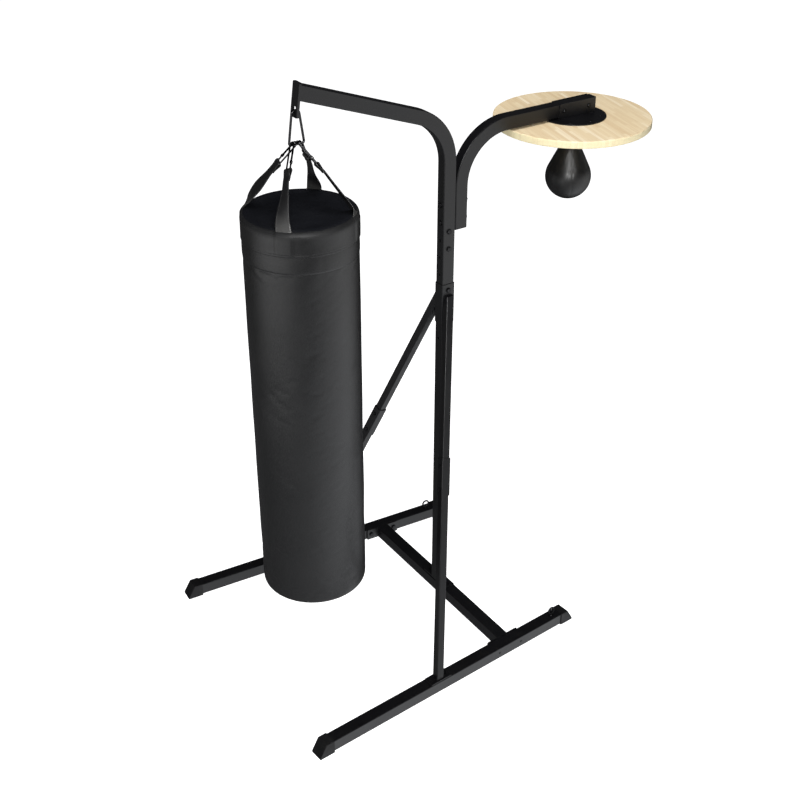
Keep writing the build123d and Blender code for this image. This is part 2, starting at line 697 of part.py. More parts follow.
def swivel_flange():
    """Turned flange under the board with a hub that holds the spinning stem."""
    at = POST_X + BOARD_X
    with BuildPart() as flange:
        with BuildSketch(Plane((at, 0, BOARD_LOW - 0.05), x_dir=(1, 0, 0), z_dir=(0, 0, -1))):
            Circle(38)
            with PolarLocations(SWIVEL_SCREW_R, 4, 45):
                Circle(M6 - 0.6, mode=Mode.SUBTRACT)
        extrude(amount=5)
        with BuildSketch(Plane((at, 0, BOARD_LOW - 1), x_dir=(1, 0, 0), z_dir=(0, 0, -1))):
            Circle(15)
        extrude(amount=21)
        fillet(flange.faces().sort_by(Axis.Z)[0].edges(), 3)
        with BuildSketch(Plane((at, 0, HUB_LOW + 5))):
            Circle(HEAD_R + 0.3)
        extrude(amount=30, mode=Mode.SUBTRACT)
        with BuildSketch(Plane((at, 0, HUB_LOW - 1))):
            Circle(STEM_R + 0.05)
        extrude(amount=10, mode=Mode.SUBTRACT)
    return flange


def swivel_screws():
    screws = []
    with PolarLocations(SWIVEL_SCREW_R, 4, 45) as ring:
        spots = [place.position for place in ring.locations]
    for spot in spots:
        at = Plane((POST_X + BOARD_X + spot.X, spot.Y, BOARD_LOW - 5.1), x_dir=(1, 0, 0),
                   z_dir=(0, 0, -1))
        screws.append(pan_screw(at, M6 - 1, 20))
    group(screws, "swivel_screws")


def swivel_stem():
    """Headed stem that turns in the hub, with a fork and its cross pin below."""
    at = POST_X + BOARD_X
    with BuildPart() as stem:
        with BuildSketch(Plane((at, 0, HUB_LOW + 5.3))):
            Circle(HEAD_R)
        extrude(amount=8)
        with BuildSketch(Plane((at, 0, HUB_LOW - 5))):
            Circle(STEM_R)
        extrude(amount=11)
        with BuildSketch(Plane((at, 0, FORK_Z - 8))):
            RectangleRounded(20, 14, 3)
        extrude(amount=HUB_LOW - 1 - FORK_Z + 8)
        with BuildSketch(Plane((at, 0, FORK_Z - 9))):
            Rectangle(12, 20)
        extrude(amount=21, mode=Mode.SUBTRACT)
        with BuildSketch(Plane((at, 0, FORK_Z), x_dir=(0, 1, 0), z_dir=(1, 0, 0))):
            Circle(3)
        extrude(amount=12, both=True)
    return stem


def swivel_link():
    """Rocker on the fork's pin, with a round eye below it for the ball's loop."""
    at = POST_X + BOARD_X
    with BuildPart() as link:
        with BuildSketch(Plane((at, 0, FORK_Z), x_dir=(0, 1, 0), z_dir=(1, 0, 0))):
            SlotOverall(24, 11, rotation=90)
        extrude(amount=5.6, both=True)
        with BuildSketch(Plane((at, 0, FORK_Z), x_dir=(0, 1, 0), z_dir=(1, 0, 0))):
            with Locations((0, 10)):
                Rectangle(20, 8)
        extrude(amount=12, both=True, mode=Mode.SUBTRACT)
        with BuildSketch(Plane((at + 9, 0, RING_Z), x_dir=(1, 0, 0), z_dir=(0, 0, 1))):
            Circle(2.6)
        revolve(axis=Axis((at, 0, RING_Z), (0, 1, 0)), revolution_arc=360)
        with BuildSketch(Plane((at, 0, FORK_Z), x_dir=(0, 1, 0), z_dir=(1, 0, 0))):
            Circle(3.05)
        extrude(amount=12, both=True, mode=Mode.SUBTRACT)
        with BuildSketch(Plane((at, 0, RING_Z), x_dir=(1, 0, 0), z_dir=(0, 1, 0))):
            Circle(6.4)
        extrude(amount=12, both=True, mode=Mode.SUBTRACT)
    return link


def ball_outline(inset):
    """Half pear from the axis at the bottom up to the neck, inset by the skin."""
    axis = POST_X + BOARD_X
    bottom = (axis, BALL_BOTTOM + inset)
    top = BALL_TOP - inset
    shoulder = (axis + BALL_CONE[0] - inset, BALL_CONE[1])
    neck = (axis + BALL_NECK[0] - inset, BALL_NECK[1] - inset / 2)
    slope = (neck[0] - shoulder[0], neck[1] - shoulder[1])
    with BuildSketch(Plane.XZ) as outline:
        with BuildLine():
            Spline(bottom, (axis + BALL_RADIUS - inset, BALL_WIDEST), shoulder,
                   tangents=((1, 0), slope))
            Line(shoulder, neck)
            Spline(neck, (axis + 14, top), tangents=(slope, (-1, 0.1)))
            Polyline((axis + 14, top), (axis, top), bottom)
        make_face()
    return outline.sketch


def speed_ball_shell():
    with BuildPart() as ball:
        revolve(ball_outline(0), axis=Axis((POST_X + BOARD_X, 0, 0), (0, 0, 1)), revolution_arc=360)
        revolve(ball_outline(BALL_SKIN), axis=Axis((POST_X + BOARD_X, 0, 0), (0, 0, 1)), revolution_arc=360,
                mode=Mode.SUBTRACT)
    return ball


def speed_ball_bladder():
    with BuildPart() as bladder:
        revolve(ball_outline(BALL_SKIN + 0.3), axis=Axis((POST_X + BOARD_X, 0, 0), (0, 0, 1)), revolution_arc=360)
    return bladder


def ball_loop():
    """Stitched leather loop through the eye, riveted to a round tab on the ball."""
    at = POST_X + BOARD_X
    loop_z = RING_Z - 4.5
    with BuildPart() as loop:
        with BuildSketch(Plane((at, 0, loop_z - 4.6), x_dir=(0, 1, 0), z_dir=(1, 0, 0))):
            SlotOverall(26, 16, rotation=90)
            SlotOverall(20, 10.4, rotation=90, mode=Mode.SUBTRACT)
        extrude(amount=3.5, both=True)
        with BuildSketch(Plane((at, 0, BALL_TOP + 0.1))):
            Circle(12)
        extrude(amount=-30, mode=Mode.SUBTRACT)
        with BuildSketch(Plane((at, 0, BALL_TOP + 0.1))):
            Circle(12)
        extrude(amount=2)
    return loop


# ==== heavy bag ====

LINK_TOP_Z = HOOK_Z - HANGER_HOLE + LINK_WIRE / 2 + 1.8
LINK_ARC_Z = LINK_TOP_Z - LINK_TOP_RADIUS
LINK_X = HOOK_X + HANGER_THICK / 2
BAG_X = LINK_X


def delta_link():
    """Three-cornered wire link: tight top bend in the plate, flat bar below."""
    centre = POST_X + LINK_X
    drop = LINK_ARC_Z - LINK_BAR_Z
    touch = acos(LINK_TOP_RADIUS / sqrt(LINK_HALF**2 + drop**2)) - atan(drop / LINK_HALF)
    top_x = LINK_TOP_RADIUS * cos(touch)
    top_z = LINK_ARC_Z + LINK_TOP_RADIUS * sin(touch)
    with BuildPart() as link:
        with BuildLine(Plane.XZ) as route:
            FilletPolyline((centre, LINK_BAR_Z), (centre + LINK_HALF, LINK_BAR_Z),
                           (centre + top_x, top_z), radius=LINK_CORNER)
            ThreePointArc((centre + top_x, top_z), (centre, LINK_TOP_Z),
                          (centre - top_x, top_z))
            FilletPolyline((centre - top_x, top_z), (centre - LINK_HALF, LINK_BAR_Z),
                           (centre, LINK_BAR_Z), radius=LINK_CORNER)
        with BuildSketch(Plane((centre, 0, LINK_BAR_Z), x_dir=(0, 1, 0), z_dir=(1, 0, 0))):
            Circle(LINK_WIRE / 2)
        sweep(path=route.wire())
    return link


def snap_plane(x_sign, y_sign, outer):
    """Plane of one snap hook: origin on the link's bar, x down the hook, y across it."""
    tilt = radians(SNAP_TILT)
    down = Vector(x_sign * sin(tilt) / sqrt(2), y_sign * sin(tilt) / sqrt(2), -cos(tilt))
    across = (Vector(0, 1, 0) - down * down.Y).normalized() * y_sign
    origin = Vector(POST_X + LINK_X + x_sign * (16.5 if outer else 9), 0, LINK_BAR_Z)
    return Plane(origin=origin, x_dir=down, z_dir=down.cross(across))


def snap_hook(plane):
    """Bent wire hook, open on one side, with cheeks and a pin for its gate."""
    top = -0.8
    low = SNAP_LENGTH
    with BuildPart() as hook:
        with BuildLine(plane) as route:
            nose = Line((SNAP_NOSE, SNAP_RADIUS), (top, SNAP_RADIUS))
            crown = ThreePointArc((top, SNAP_RADIUS), (top - SNAP_RADIUS, 0), (top, -SNAP_RADIUS))
            back = Line((top, -SNAP_RADIUS), (low, -SNAP_RADIUS))
            base = ThreePointArc((low, -SNAP_RADIUS), (low + SNAP_RADIUS, 0), (low, SNAP_RADIUS))
            Line((low, SNAP_RADIUS), (SNAP_PIVOT + 3.6, SNAP_RADIUS))
        with BuildSketch(Plane(origin=route.wire() @ 0, z_dir=route.wire() % 0)):
            Circle(SNAP_WIRE / 2)
        sweep(path=route.wire())
        for face in (1, -1):
            with BuildSketch(plane.offset(face * (SNAP_WIRE / 2 - 0.2))):
                with Locations((SNAP_PIVOT + 2.5, SNAP_RADIUS)):
                    SlotOverall(11, 5.4)
            extrude(amount=face * 1.4)
        with BuildSketch(plane):
            with Locations((SNAP_PIVOT, SNAP_RADIUS)):
                Circle(1)
        extrude(amount=SNAP_WIRE / 2 + 1, both=True)
    return hook


def snap_gate(plane):
    """Straight gate, rounded over its pin, closing against the hook's nose."""
    half = SNAP_WIRE / 2 - 0.5
    with BuildPart() as gate:
        with BuildSketch(plane):
            with BuildLine():
                Polyline((SNAP_NOSE + 0.4, SNAP_RADIUS - half),
                         (SNAP_NOSE + 0.4, SNAP_RADIUS + half),
                         (SNAP_PIVOT, SNAP_RADIUS + half), (SNAP_PIVOT, SNAP_RADIUS - half),
                         close=True)
            make_face()
            with Locations((SNAP_PIVOT, SNAP_RADIUS)):
                Circle(half)
        extrude(amount=half, both=True)
        with BuildSketch(plane):
            with Locations((SNAP_PIVOT, SNAP_RADIUS)):
                Circle(1.05)
        extrude(amount=10, both=True, mode=Mode.SUBTRACT)
    return gate


def bag_strap(hook_plane, x_sign, y_sign):
    """Webbing from the hook's lower bend over the bag's rim and down its side."""
    azimuth = Vector(x_sign, y_sign, 0).normalized()
    axis = Vector(POST_X + BAG_X, 0, 0)
    hook_end = SNAP_LENGTH + SNAP_RADIUS + SNAP_WIRE / 2 + 1
    low_bend = hook_plane.origin + hook_plane.x_dir * hook_end
    upright = Plane(origin=axis, x_dir=azimuth, z_dir=azimuth.cross(Vector(0, 0, 1)))
    start = ((low_bend - axis).dot(azimuth), low_bend.Z)
    outer = BAG_RADIUS + 1.6 + STRAP_THICK
    rim = (outer, BAG_TOP + 4)
    slope = Vector(rim[0] - start[0], rim[1] - start[1], 0).normalized()
    lift = (-slope.Y * STRAP_THICK, slope.X * STRAP_THICK)
    with BuildPart() as strap:
        with BuildSketch(upright):
            with BuildLine():
                Polyline(start, (start[0] + lift[0], start[1] + lift[1]),
                         (rim[0], rim[1] + lift[1]), (outer, BAG_TOP - STRAP_DOWN),
                         (outer - STRAP_THICK, BAG_TOP - STRAP_DOWN),
                         (outer - STRAP_THICK, BAG_TOP + 3), close=True)
            make_face()
        extrude(amount=STRAP_WIDE / 2, both=True)
        taper = Plane(origin=axis + azimuth * start[0] + Vector(0, 0, start[1]),
                      x_dir=azimuth.cross(Vector(0, 0, 1)), z_dir=(0, 0, 1))
        grow = (STRAP_WIDE - STRAP_TOP_WIDE) / 2
        run = rim[0] - start[0] - 12
        for edge in (1, -1):
            with BuildSketch(Plane(origin=taper.origin - Vector(0, 0, 200), x_dir=azimuth,
                                   z_dir=(0, 0, 1))):
                with BuildLine():
                    Polyline((-20, edge * STRAP_TOP_WIDE / 2), (0, edge * STRAP_TOP_WIDE / 2),
                             (run, edge * (STRAP_TOP_WIDE / 2 + grow)), (run, edge * 60),
                             (-20, edge * 60), close=True)
                make_face()
            extrude(amount=400, mode=Mode.SUBTRACT)
    return strap


def bag_shell():
    """Open-topped skin of the bag with a softly rounded bottom edge."""
    with BuildPart() as shell:
        with BuildSketch(Plane((POST_X + BAG_X, 0, BAG_BOTTOM))):
            Circle(BAG_RADIUS)
        extrude(amount=BAG_TOP - BAG_BOTTOM)
        fillet(shell.faces().sort_by(Axis.Z)[0].edges(), BAG_EDGE)
        offset(amount=-BAG_SKIN, openings=shell.faces().sort_by(Axis.Z)[-1])
    return shell


def bag_filling():
    gap = BAG_SKIN + 0.3
    with BuildPart() as filling:
        with BuildSketch(Plane((POST_X + BAG_X, 0, BAG_BOTTOM + gap))):
            Circle(BAG_RADIUS - gap)
        extrude(amount=BAG_TOP - BAG_LID_DROP - 6 - BAG_BOTTOM - gap)
        fillet(filling.faces().sort_by(Axis.Z)[0].edges(), BAG_EDGE - BAG_SKIN)
    return filling


def bag_lid():
    with BuildPart() as lid:
        with BuildSketch(Plane((POST_X + BAG_X, 0, BAG_TOP - BAG_LID_DROP))):
            Circle(BAG_RADIUS - BAG_SKIN - 0.3)
        extrude(amount=-5)
    return lid


def bag_collar():
    """Doubled band of the skin round the top, where the straps are sewn on."""
    with BuildPart() as collar:
        with BuildSketch(Plane((POST_X + BAG_X, 0, BAG_TOP - BAG_COLLAR))):
            Circle(BAG_RADIUS + 1.2)
            Circle(BAG_RADIUS + 0.05, mode=Mode.SUBTRACT)
        extrude(amount=BAG_COLLAR)
    return collar


# ==== make every piece ====

for side_name, side_sign in SIDES:
    save(leg(side_sign), f"{side_name}_leg")
    save(end_cap(side_sign, -1), f"{side_name}_leg_left_cap")
    save(end_cap(side_sign, 1), f"{side_name}_leg_right_cap")
    save(eye_bolt(side_sign), f"{side_name}_eye_bolt")
    save(brace_upper(side_sign), f"{side_name}_brace_upper")
    save(brace_sleeve(side_sign), f"{side_name}_brace_sleeve")
    save(brace_lower(side_sign), f"{side_name}_brace_lower")
save(crossbar(), "crossbar")
save(lower_post(), "lower_post")
save(post_sleeve(), "post_sleeve")
save(mast(), "mast")

save(speed_arm(), "speed_arm")
save(tube_plug(Plane((POST_X + ARM_X, 0, ARM_BOTTOM), x_dir=(1, 0, 0), z_dir=(0, 0, -1))),
     "speed_arm_lower_plug")
save(tube_plug(Plane((POST_X + ARM_END, 0, ARM_LEVEL), x_dir=(0, 0, 1), z_dir=(1, 0, 0))),
     "speed_arm_end_plug")
save(platform_bracket(), "platform_bracket")
save(platform_board(), "platform_board")
board_fasteners()

big_nuts = crossbar_fasteners() + sleeve_fasteners() + mast_side_fasteners()
big_nuts += speed_arm_fasteners() + [eye_nut(-1), eye_nut(1)]
group(big_nuts, "flange_nuts_m10")
group(post_foot_fasteners() + brace_fasteners() + bracket_fasteners(), "flange_nuts_m8")

save(swivel_flange(), "swivel_flange")
swivel_screws()
save(swivel_stem(), "swivel_stem")
save(swivel_link(), "swivel_link")
save(speed_ball_shell(), "speed_ball_shell")
save(speed_ball_bladder(), "speed_ball_bladder")
save(ball_loop(), "speed_ball_loop")

save(delta_link(), "delta_link")
save(bag_shell(), "bag_shell")
save(bag_filling(), "bag_filling")
save(bag_lid(), "bag_lid")
save(bag_collar(), "bag_collar")
for corner_name, x_way, y_way in CORNERS:
    place = snap_plane(x_way, y_way, outer=(x_way == y_way))
    save(snap_hook(place), f"snap_hook_{corner_name}")
    save(snap_gate(place), f"snap_gate_{corner_name}")
    save(bag_strap(place, x_way, y_way), f"bag_strap_{corner_name}")
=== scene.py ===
"""Looks of a two-station boxing stand: heavy bag on one side, speed bag platform on the other.

Metres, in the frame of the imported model: +X is the speed bag side, +Z is up, the floor is z = 0.
"""
import json
import math

import bpy
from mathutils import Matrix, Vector, noise


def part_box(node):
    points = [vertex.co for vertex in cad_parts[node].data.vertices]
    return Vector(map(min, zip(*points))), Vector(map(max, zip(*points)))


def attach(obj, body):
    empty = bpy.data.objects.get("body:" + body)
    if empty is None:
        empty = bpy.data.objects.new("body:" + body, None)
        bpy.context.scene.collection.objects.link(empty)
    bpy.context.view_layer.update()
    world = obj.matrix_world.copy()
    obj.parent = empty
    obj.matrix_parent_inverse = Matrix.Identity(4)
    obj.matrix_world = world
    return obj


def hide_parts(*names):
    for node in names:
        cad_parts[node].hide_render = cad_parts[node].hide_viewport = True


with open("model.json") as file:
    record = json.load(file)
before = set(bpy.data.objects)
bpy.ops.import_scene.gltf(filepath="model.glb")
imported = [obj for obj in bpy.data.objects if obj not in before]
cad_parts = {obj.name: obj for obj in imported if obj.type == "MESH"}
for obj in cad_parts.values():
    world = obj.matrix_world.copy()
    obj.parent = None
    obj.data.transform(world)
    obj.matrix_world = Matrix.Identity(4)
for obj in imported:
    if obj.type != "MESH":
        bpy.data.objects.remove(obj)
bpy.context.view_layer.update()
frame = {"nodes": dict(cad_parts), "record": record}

STRIP_MAP = "strip_map"
PUFF_FRAMES = 20
CAMERA_PLACE = (-2.3576, -3.3150, 3.3228)
CAMERA_AIM = (0.4749, 0.7157, -0.5121)
CAMERA_LENS = 57.43


# ---------------------------------------------------------------- materials

class Shader:
    """One procedural material on a Principled shader. Each method adds a node and gives back an output."""

    def __init__(self, name, roughness=0.5, metallic=0.0, specular=0.5):
        self.material = bpy.data.materials.new(name)
        self.material.use_nodes = True
        self.tree = self.material.node_tree
        self.surface = self.tree.nodes["Principled BSDF"]
        self.surface.inputs["Roughness"].default_value = roughness
        self.surface.inputs["Metallic"].default_value = metallic
        self.surface.inputs["Specular IOR Level"].default_value = specular
        self.place = self.add("TexCoord").outputs["Object"]

    def add(self, kind, inputs=(), **settings):
        node = self.tree.nodes.new("ShaderNode" + kind)
        for key, value in settings.items():
            setattr(node, key, value)
        for key, value in dict(inputs).items():
            if isinstance(value, bpy.types.NodeSocket):
                self.tree.links.new(value, node.inputs[key])
            else:
                node.inputs[key].default_value = value
        return node

    def mapped(self, scale=(1, 1, 1), turn=(0, 0, 0), source=None):
        node = self.add("Mapping", {"Vector": source or self.place, "Scale": scale, "Rotation": turn})
        return node.outputs["Vector"]

    def noise(self, scale, detail=3.0, rough=0.5, where=None, distortion=0.0):
        node = self.add("TexNoise", {"Vector": where or self.place, "Scale": scale, "Detail": detail,
                                     "Roughness": rough, "Distortion": distortion})
        return node.outputs["Fac"]

    def math(self, operation, a, b=0.0, clamp=False):
        node = self.add("Math", {0: a, 1: b}, operation=operation, use_clamp=clamp)
        return node.outputs[0]

    def span(self, value, low, high, to_low=0.0, to_high=1.0):
        node = self.add("MapRange", {"Value": value, "From Min": low, "From Max": high,
                                     "To Min": to_low, "To Max": to_high})
        return node.outputs["Result"]

    def ramp(self, value, *stops):
        node = self.add("ValToRGB", {"Fac": value})
        elements = node.color_ramp.elements
        while len(elements) < len(stops):
            elements.new(0.5)
        for element, (position, colour) in zip(elements, stops):
            element.position = position
            element.color = (*colour, 1)
        return node.outputs["Color"]

    def mix(self, factor, a, b, blend="MIX"):
        node = self.add("Mix", {0: factor, 6: a, 7: b}, data_type="RGBA", blend_type=blend)
        return node.outputs[2]

    def bump(self, height, distance, strength=1.0, below=None):
        inputs = {"Height": height, "Distance": distance, "Strength": strength}
        if below:
            inputs["Normal"] = below
        return self.add("Bump", inputs).outputs["Normal"]

    def done(self, colour=None, roughness=None, normal=None):
        for key, value in (("Base Color", colour), ("Roughness", roughness), ("Normal", normal)):
            if value is not None:
                self.tree.links.new(value, self.surface.inputs[key])
        return self.material


def worn_and_highlit_edges(s, radius):
    """1 along sharp edges, 0 on flat faces, broken up by noise; it marks wear on the paint and a painted
    highlight along the corners.
    """
    rounded = s.add("Bevel", {"Radius": radius}, samples=4).outputs["Normal"]
    flat = s.add("NewGeometry").outputs["Normal"]
    along = s.add("VectorMath", {0: rounded, 1: flat}, operation="DOT_PRODUCT").outputs["Value"]
    edge = s.span(along, 0.995, 0.9)
    return s.math("MULTIPLY", edge, s.span(s.noise(60, 4), 0.42, 0.62), clamp=True)


def powder_coat():
    s = Shader("powder_coat_black", specular=0.45)
    peel = s.noise(700, 2)
    grit = s.noise(2600, 1)
    haze = s.noise(9, 5, 0.6)
    colour = s.ramp(haze, (0.3, (0.0030, 0.0030, 0.0036)), (0.7, (0.0052, 0.0052, 0.0060)))
    # Edges mixed lighter: partly wear on the paint, partly a painted highlight along the tube corners.
    colour = s.mix(worn_and_highlit_edges(s, 0.0016), colour, (0.03, 0.03, 0.031, 1))
    roughness = s.span(haze, 0.3, 0.7, 0.30, 0.42)
    normal = s.bump(peel, 0.0004, 0.35)
    normal = s.bump(grit, 0.0001, 0.2, normal)
    return s.done(colour, roughness, normal)


def moulded_plastic():
    s = Shader("moulded_plastic_black", specular=0.35)
    grain = s.add("TexVoronoi", {"Vector": s.place, "Scale": 1400.0}).outputs["Distance"]
    cloud = s.noise(22, 4)
    colour = s.ramp(cloud, (0.35, (0.004, 0.004, 0.0045)), (0.7, (0.008, 0.008, 0.0085)))
    scuff = s.span(s.noise(90, 6, 0.7, s.mapped((1, 1, 4))), 0.62, 0.75)
    colour = s.mix(scuff, colour, (0.03, 0.03, 0.03, 1))
    roughness = s.span(cloud, 0.3, 0.7, 0.5, 0.66)
    return s.done(colour, roughness, s.bump(grain, 0.0002, 0.4))


def plated_metal(name, dark, light, low_gloss, high_gloss, metallic=1.0, scratch=0.25):
    s = Shader(name, metallic=metallic)
    cloud = s.noise(160, 4, 0.6)
    colour = s.ramp(cloud, (0.3, dark), (0.72, light))
    hair = s.noise(500, 3, 0.6, s.mapped((1, 1, 14)))
    roughness = s.span(cloud, 0.3, 0.7, low_gloss, high_gloss)
    return s.done(colour, roughness, s.bump(hair, 0.00006, scratch))


def butcher_block():
    """Edge-glued strips of pale hardwood, each cut into staggered blocks."""
    strip, block = 0.0125, 0.16
    s = Shader("butcher_block_beech", specular=0.4)
    lined = s.mapped(turn=(0, 0, math.radians(WOOD_TURN)))
    parts = s.add("SeparateXYZ", {"Vector": lined}).outputs
    across, along, up = parts["X"], parts["Y"], parts["Z"]
    across = s.math("DIVIDE", across, strip)
    row = s.math("FLOOR", across)
    row_chance = s.add("TexWhiteNoise", {"W": row}, noise_dimensions="1D").outputs["Value"]
    along = s.math("ADD", s.math("DIVIDE", along, block), s.math("MULTIPLY", row_chance, 7.0))
    column = s.math("FLOOR", along)
    cell = s.add("CombineXYZ", {"X": row, "Y": column}).outputs["Vector"]
    chance = s.add("TexWhiteNoise", {"Vector": cell}, noise_dimensions="3D").outputs
    tone = s.ramp(chance["Value"], (0.0, (0.66, 0.51, 0.315)), (0.25, (0.715, 0.575, 0.37)),
                  (0.7, (0.745, 0.61, 0.40)), (0.9, (0.80, 0.68, 0.48)), (1.0, (0.86, 0.75, 0.56)))
    # Painted highlight: faces that stand upright, the board's sides, are mixed toward a pale yellow for the
    # light falling on its rim.
    facing = s.add("SeparateXYZ", {"Vector": s.add("NewGeometry").outputs["Normal"]}).outputs["Z"]
    side = s.span(s.math("ABSOLUTE", facing), 0.3, 0.8, 1.0, 0.0)
    tone = s.mix(s.math("MULTIPLY", side, 0.75), tone, (0.95, 0.86, 0.55, 1))
    shift = s.add("VectorMath", {0: lined, 1: chance["Color"]}, operation="ADD").outputs["Vector"]
    grain_at = s.mapped((260, 9, 260), source=shift)
    grain = s.noise(1.0, 6, 0.62, grain_at, 0.6)
    flame = s.noise(1.0, 3, 0.5, s.mapped((46, 3.2, 46), source=shift), 1.2)
    dark = s.mix(0.62, tone, (0.42, 0.235, 0.10, 1), "MIX")
    colour = s.mix(s.span(grain, 0.5, 0.78, 0.0, 0.40), tone, dark)
    colour = s.mix(s.span(flame, 0.52, 0.7, 0.0, 0.20), colour, dark)
    edge_u = s.math("PINGPONG", across, 0.5)
    edge_v = s.math("PINGPONG", along, 0.5)
    glue_u = s.span(edge_u, 0.0, 0.022, 1.0, 0.0)
    glue_v = s.span(edge_v, 0.0, 0.003, 1.0, 0.0)
    glue = s.math("MAXIMUM", glue_u, glue_v)
    colour = s.mix(s.math("MULTIPLY", glue, 0.30), colour, (0.30, 0.16, 0.07, 1))
    roughness = s.span(grain, 0.3, 0.8, 0.36, 0.55)
    normal = s.bump(grain, 0.0003, 0.35)
    normal = s.bump(glue, -0.0003, 0.5, normal)
    s.surface.inputs["Coat Weight"].default_value = 0.25
    s.surface.inputs["Coat Roughness"].default_value = 0.22
    return s.done(colour, roughness, normal)


def woven_webbing():
    """Nylon webbing: ribs across, stitch rows and a lower end painted lighter as a sheen, laid out by the
    strap's strip map.
    """
    s = Shader("nylon_webbing_black", specular=0.7)
    lay = s.add("Attribute", attribute_name=STRIP_MAP).outputs["Vector"]
    parts = s.add("SeparateXYZ", {"Vector": lay}).outputs
    across, along, inset = parts["X"], parts["Y"], parts["Z"]
    rib = s.math("PINGPONG", s.math("DIVIDE", along, 0.0016), 0.5)
    twill = s.math("PINGPONG", s.math("DIVIDE", s.math("ADD", along, across), 0.0024), 0.5)
    weave = s.math("ADD", rib, s.math("MULTIPLY", twill, 0.8))
    fuzz = s.noise(900, 3)
    colour = s.ramp(s.math("MULTIPLY", weave, s.span(fuzz, 0.2, 0.8, 0.7, 1.1)),
                    (0.1, (0.0035, 0.0035, 0.004)), (0.8, (0.0105, 0.0105, 0.011)))
    row = s.span(s.math("ABSOLUTE", s.math("SUBTRACT", inset, 0.0045)), 0.0004, 0.0009, 1.0, 0.0)
    dash = s.span(s.math("PINGPONG", s.math("DIVIDE", along, 0.004), 0.5), 0.12, 0.2)
    thread = s.math("MULTIPLY", row, dash)
    # Painted sheen: the lower end, where the strap bends over the rim, is mixed toward a lighter grey.
    rubbed = s.math("MULTIPLY", s.span(along, 0.19, 0.26), s.span(fuzz, 0.2, 0.6, 0.6, 1.0))
    colour = s.mix(rubbed, colour, (0.050, 0.049, 0.047, 1))
    colour = s.mix(thread, colour, (0.03, 0.03, 0.031, 1))
    normal = s.bump(weave, 0.0004, 0.3)
    normal = s.bump(thread, 0.0006, 0.6, normal)
    return s.done(colour, s.span(fuzz, 0.3, 0.7, 0.36, 0.46), normal)


def woven_canvas():
    """Coated plain-weave cloth of the bag's top panel."""
    s = Shader("coated_canvas_black", specular=0.12)
    parts = s.add("SeparateXYZ", {"Vector": s.place}).outputs
    warp = s.math("SINE", s.math("MULTIPLY", parts["X"], math.tau / 0.0016))
    weft = s.math("SINE", s.math("MULTIPLY", parts["Y"], math.tau / 0.0016))
    weave = s.math("MULTIPLY", warp, weft)
    cloud = s.noise(11, 5, 0.6)
    colour = s.ramp(cloud, (0.3, (0.0036, 0.0039, 0.0052)), (0.72, (0.0062, 0.0066, 0.0084)))
    normal = s.bump(weave, 0.0003, 0.3)
    normal = s.bump(s.noise(40, 4), 0.0015, 0.3, normal)
    return s.done(colour, s.span(cloud, 0.3, 0.7, 0.62, 0.75), normal)


def grained_leather(name, dark, light, low_gloss, high_gloss, scale=420.0, specular=0.5, rubbed_from=None):
    """Pebbled hide or coated vinyl, creased between its cells.

    With rubbed_from it is dull above that height, and on faces that point straight down."""
    s = Shader(name, specular=specular)
    cells = s.add("TexVoronoi", {"Vector": s.place, "Scale": scale}, feature="DISTANCE_TO_EDGE")
    crease = s.span(cells.outputs["Distance"], 0.0, 0.12)
    cloud = s.noise(7, 5, 0.6)
    colour = s.ramp(cloud, (0.3, dark), (0.72, light))
    roughness = s.span(cloud, 0.3, 0.7, low_gloss, high_gloss)
    if rubbed_from:
        height = s.add("SeparateXYZ", {"Vector": s.place}).outputs["Z"]
        rubbed = s.span(height, rubbed_from, rubbed_from + 0.024, 0.0, 0.36)
        roughness = s.math("ADD", roughness, rubbed)
        facing = s.add("SeparateXYZ", {"Vector": s.add("NewGeometry").outputs["Normal"]}).outputs["Z"]
        roughness = s.math("MAXIMUM", roughness, s.span(facing, -0.95, -0.7, 0.85, 0.0))
    normal = s.bump(crease, 0.00025, 0.25)
    normal = s.bump(s.noise(60, 4), 0.0012, 0.25, normal)
    return s.done(colour, roughness, normal)


WOOD_TURN = 13

FINISHES = {
    "frame_paint": powder_coat(),
    "cap_plastic": moulded_plastic(),
    "black_zinc": plated_metal("black_zinc", (0.012, 0.012, 0.013), (0.035, 0.035, 0.037), 0.26, 0.42, 0.8),
    "bright_zinc": plated_metal("bright_zinc", (0.46, 0.47, 0.49), (0.66, 0.67, 0.69), 0.2, 0.34),
    "gunmetal": plated_metal("gunmetal", (0.035, 0.035, 0.036), (0.07, 0.07, 0.073), 0.24, 0.36),
    "swivel_chrome": plated_metal("chrome", (0.62, 0.63, 0.65), (0.82, 0.83, 0.85), 0.07, 0.16, scratch=0.1),
    "board_wood": butcher_block(),
    "ball_leather": grained_leather("ball_leather", (0.005, 0.005, 0.005), (0.008, 0.008, 0.0078),
                                    0.34, 0.42),
    "bag_vinyl": grained_leather("bag_vinyl", (0.0045, 0.0045, 0.005), (0.0075, 0.0075, 0.008), 0.30, 0.38,
                                 rubbed_from=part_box("bag_shell")[1].z - 0.030),
    "bag_webbing": woven_webbing(),
    "bag_canvas": woven_canvas(),
    "bladder_rubber": moulded_plastic(),
    "bag_stuffing": moulded_plastic(),
}
for row in frame["record"]["subparts"]:
    for used in frame["nodes"][row["node"]].material_slots:
        used.link = "OBJECT"
        used.material = FINISHES[row["material_slot"]]

# ---------------------------------------------------------------- soft goods

def smooth_step(value, low, high):
    t = min(1.0, max(0.0, (value - low) / (high - low)))
    return t * t * (3 - 2 * t)


def skin_object(name, verts, faces, finish, levels=1):
    mesh = bpy.data.meshes.new(name)
    mesh.from_pydata(verts, [], faces)
    mesh.polygons.foreach_set("use_smooth", [True] * len(mesh.polygons))
    mesh.materials.append(FINISHES[finish])
    piece = bpy.data.objects.new(name, mesh)
    bpy.context.scene.collection.objects.link(piece)
    if levels:
        rounding = piece.modifiers.new("rounding", "SUBSURF")
        rounding.levels = rounding.render_levels = levels
    return piece


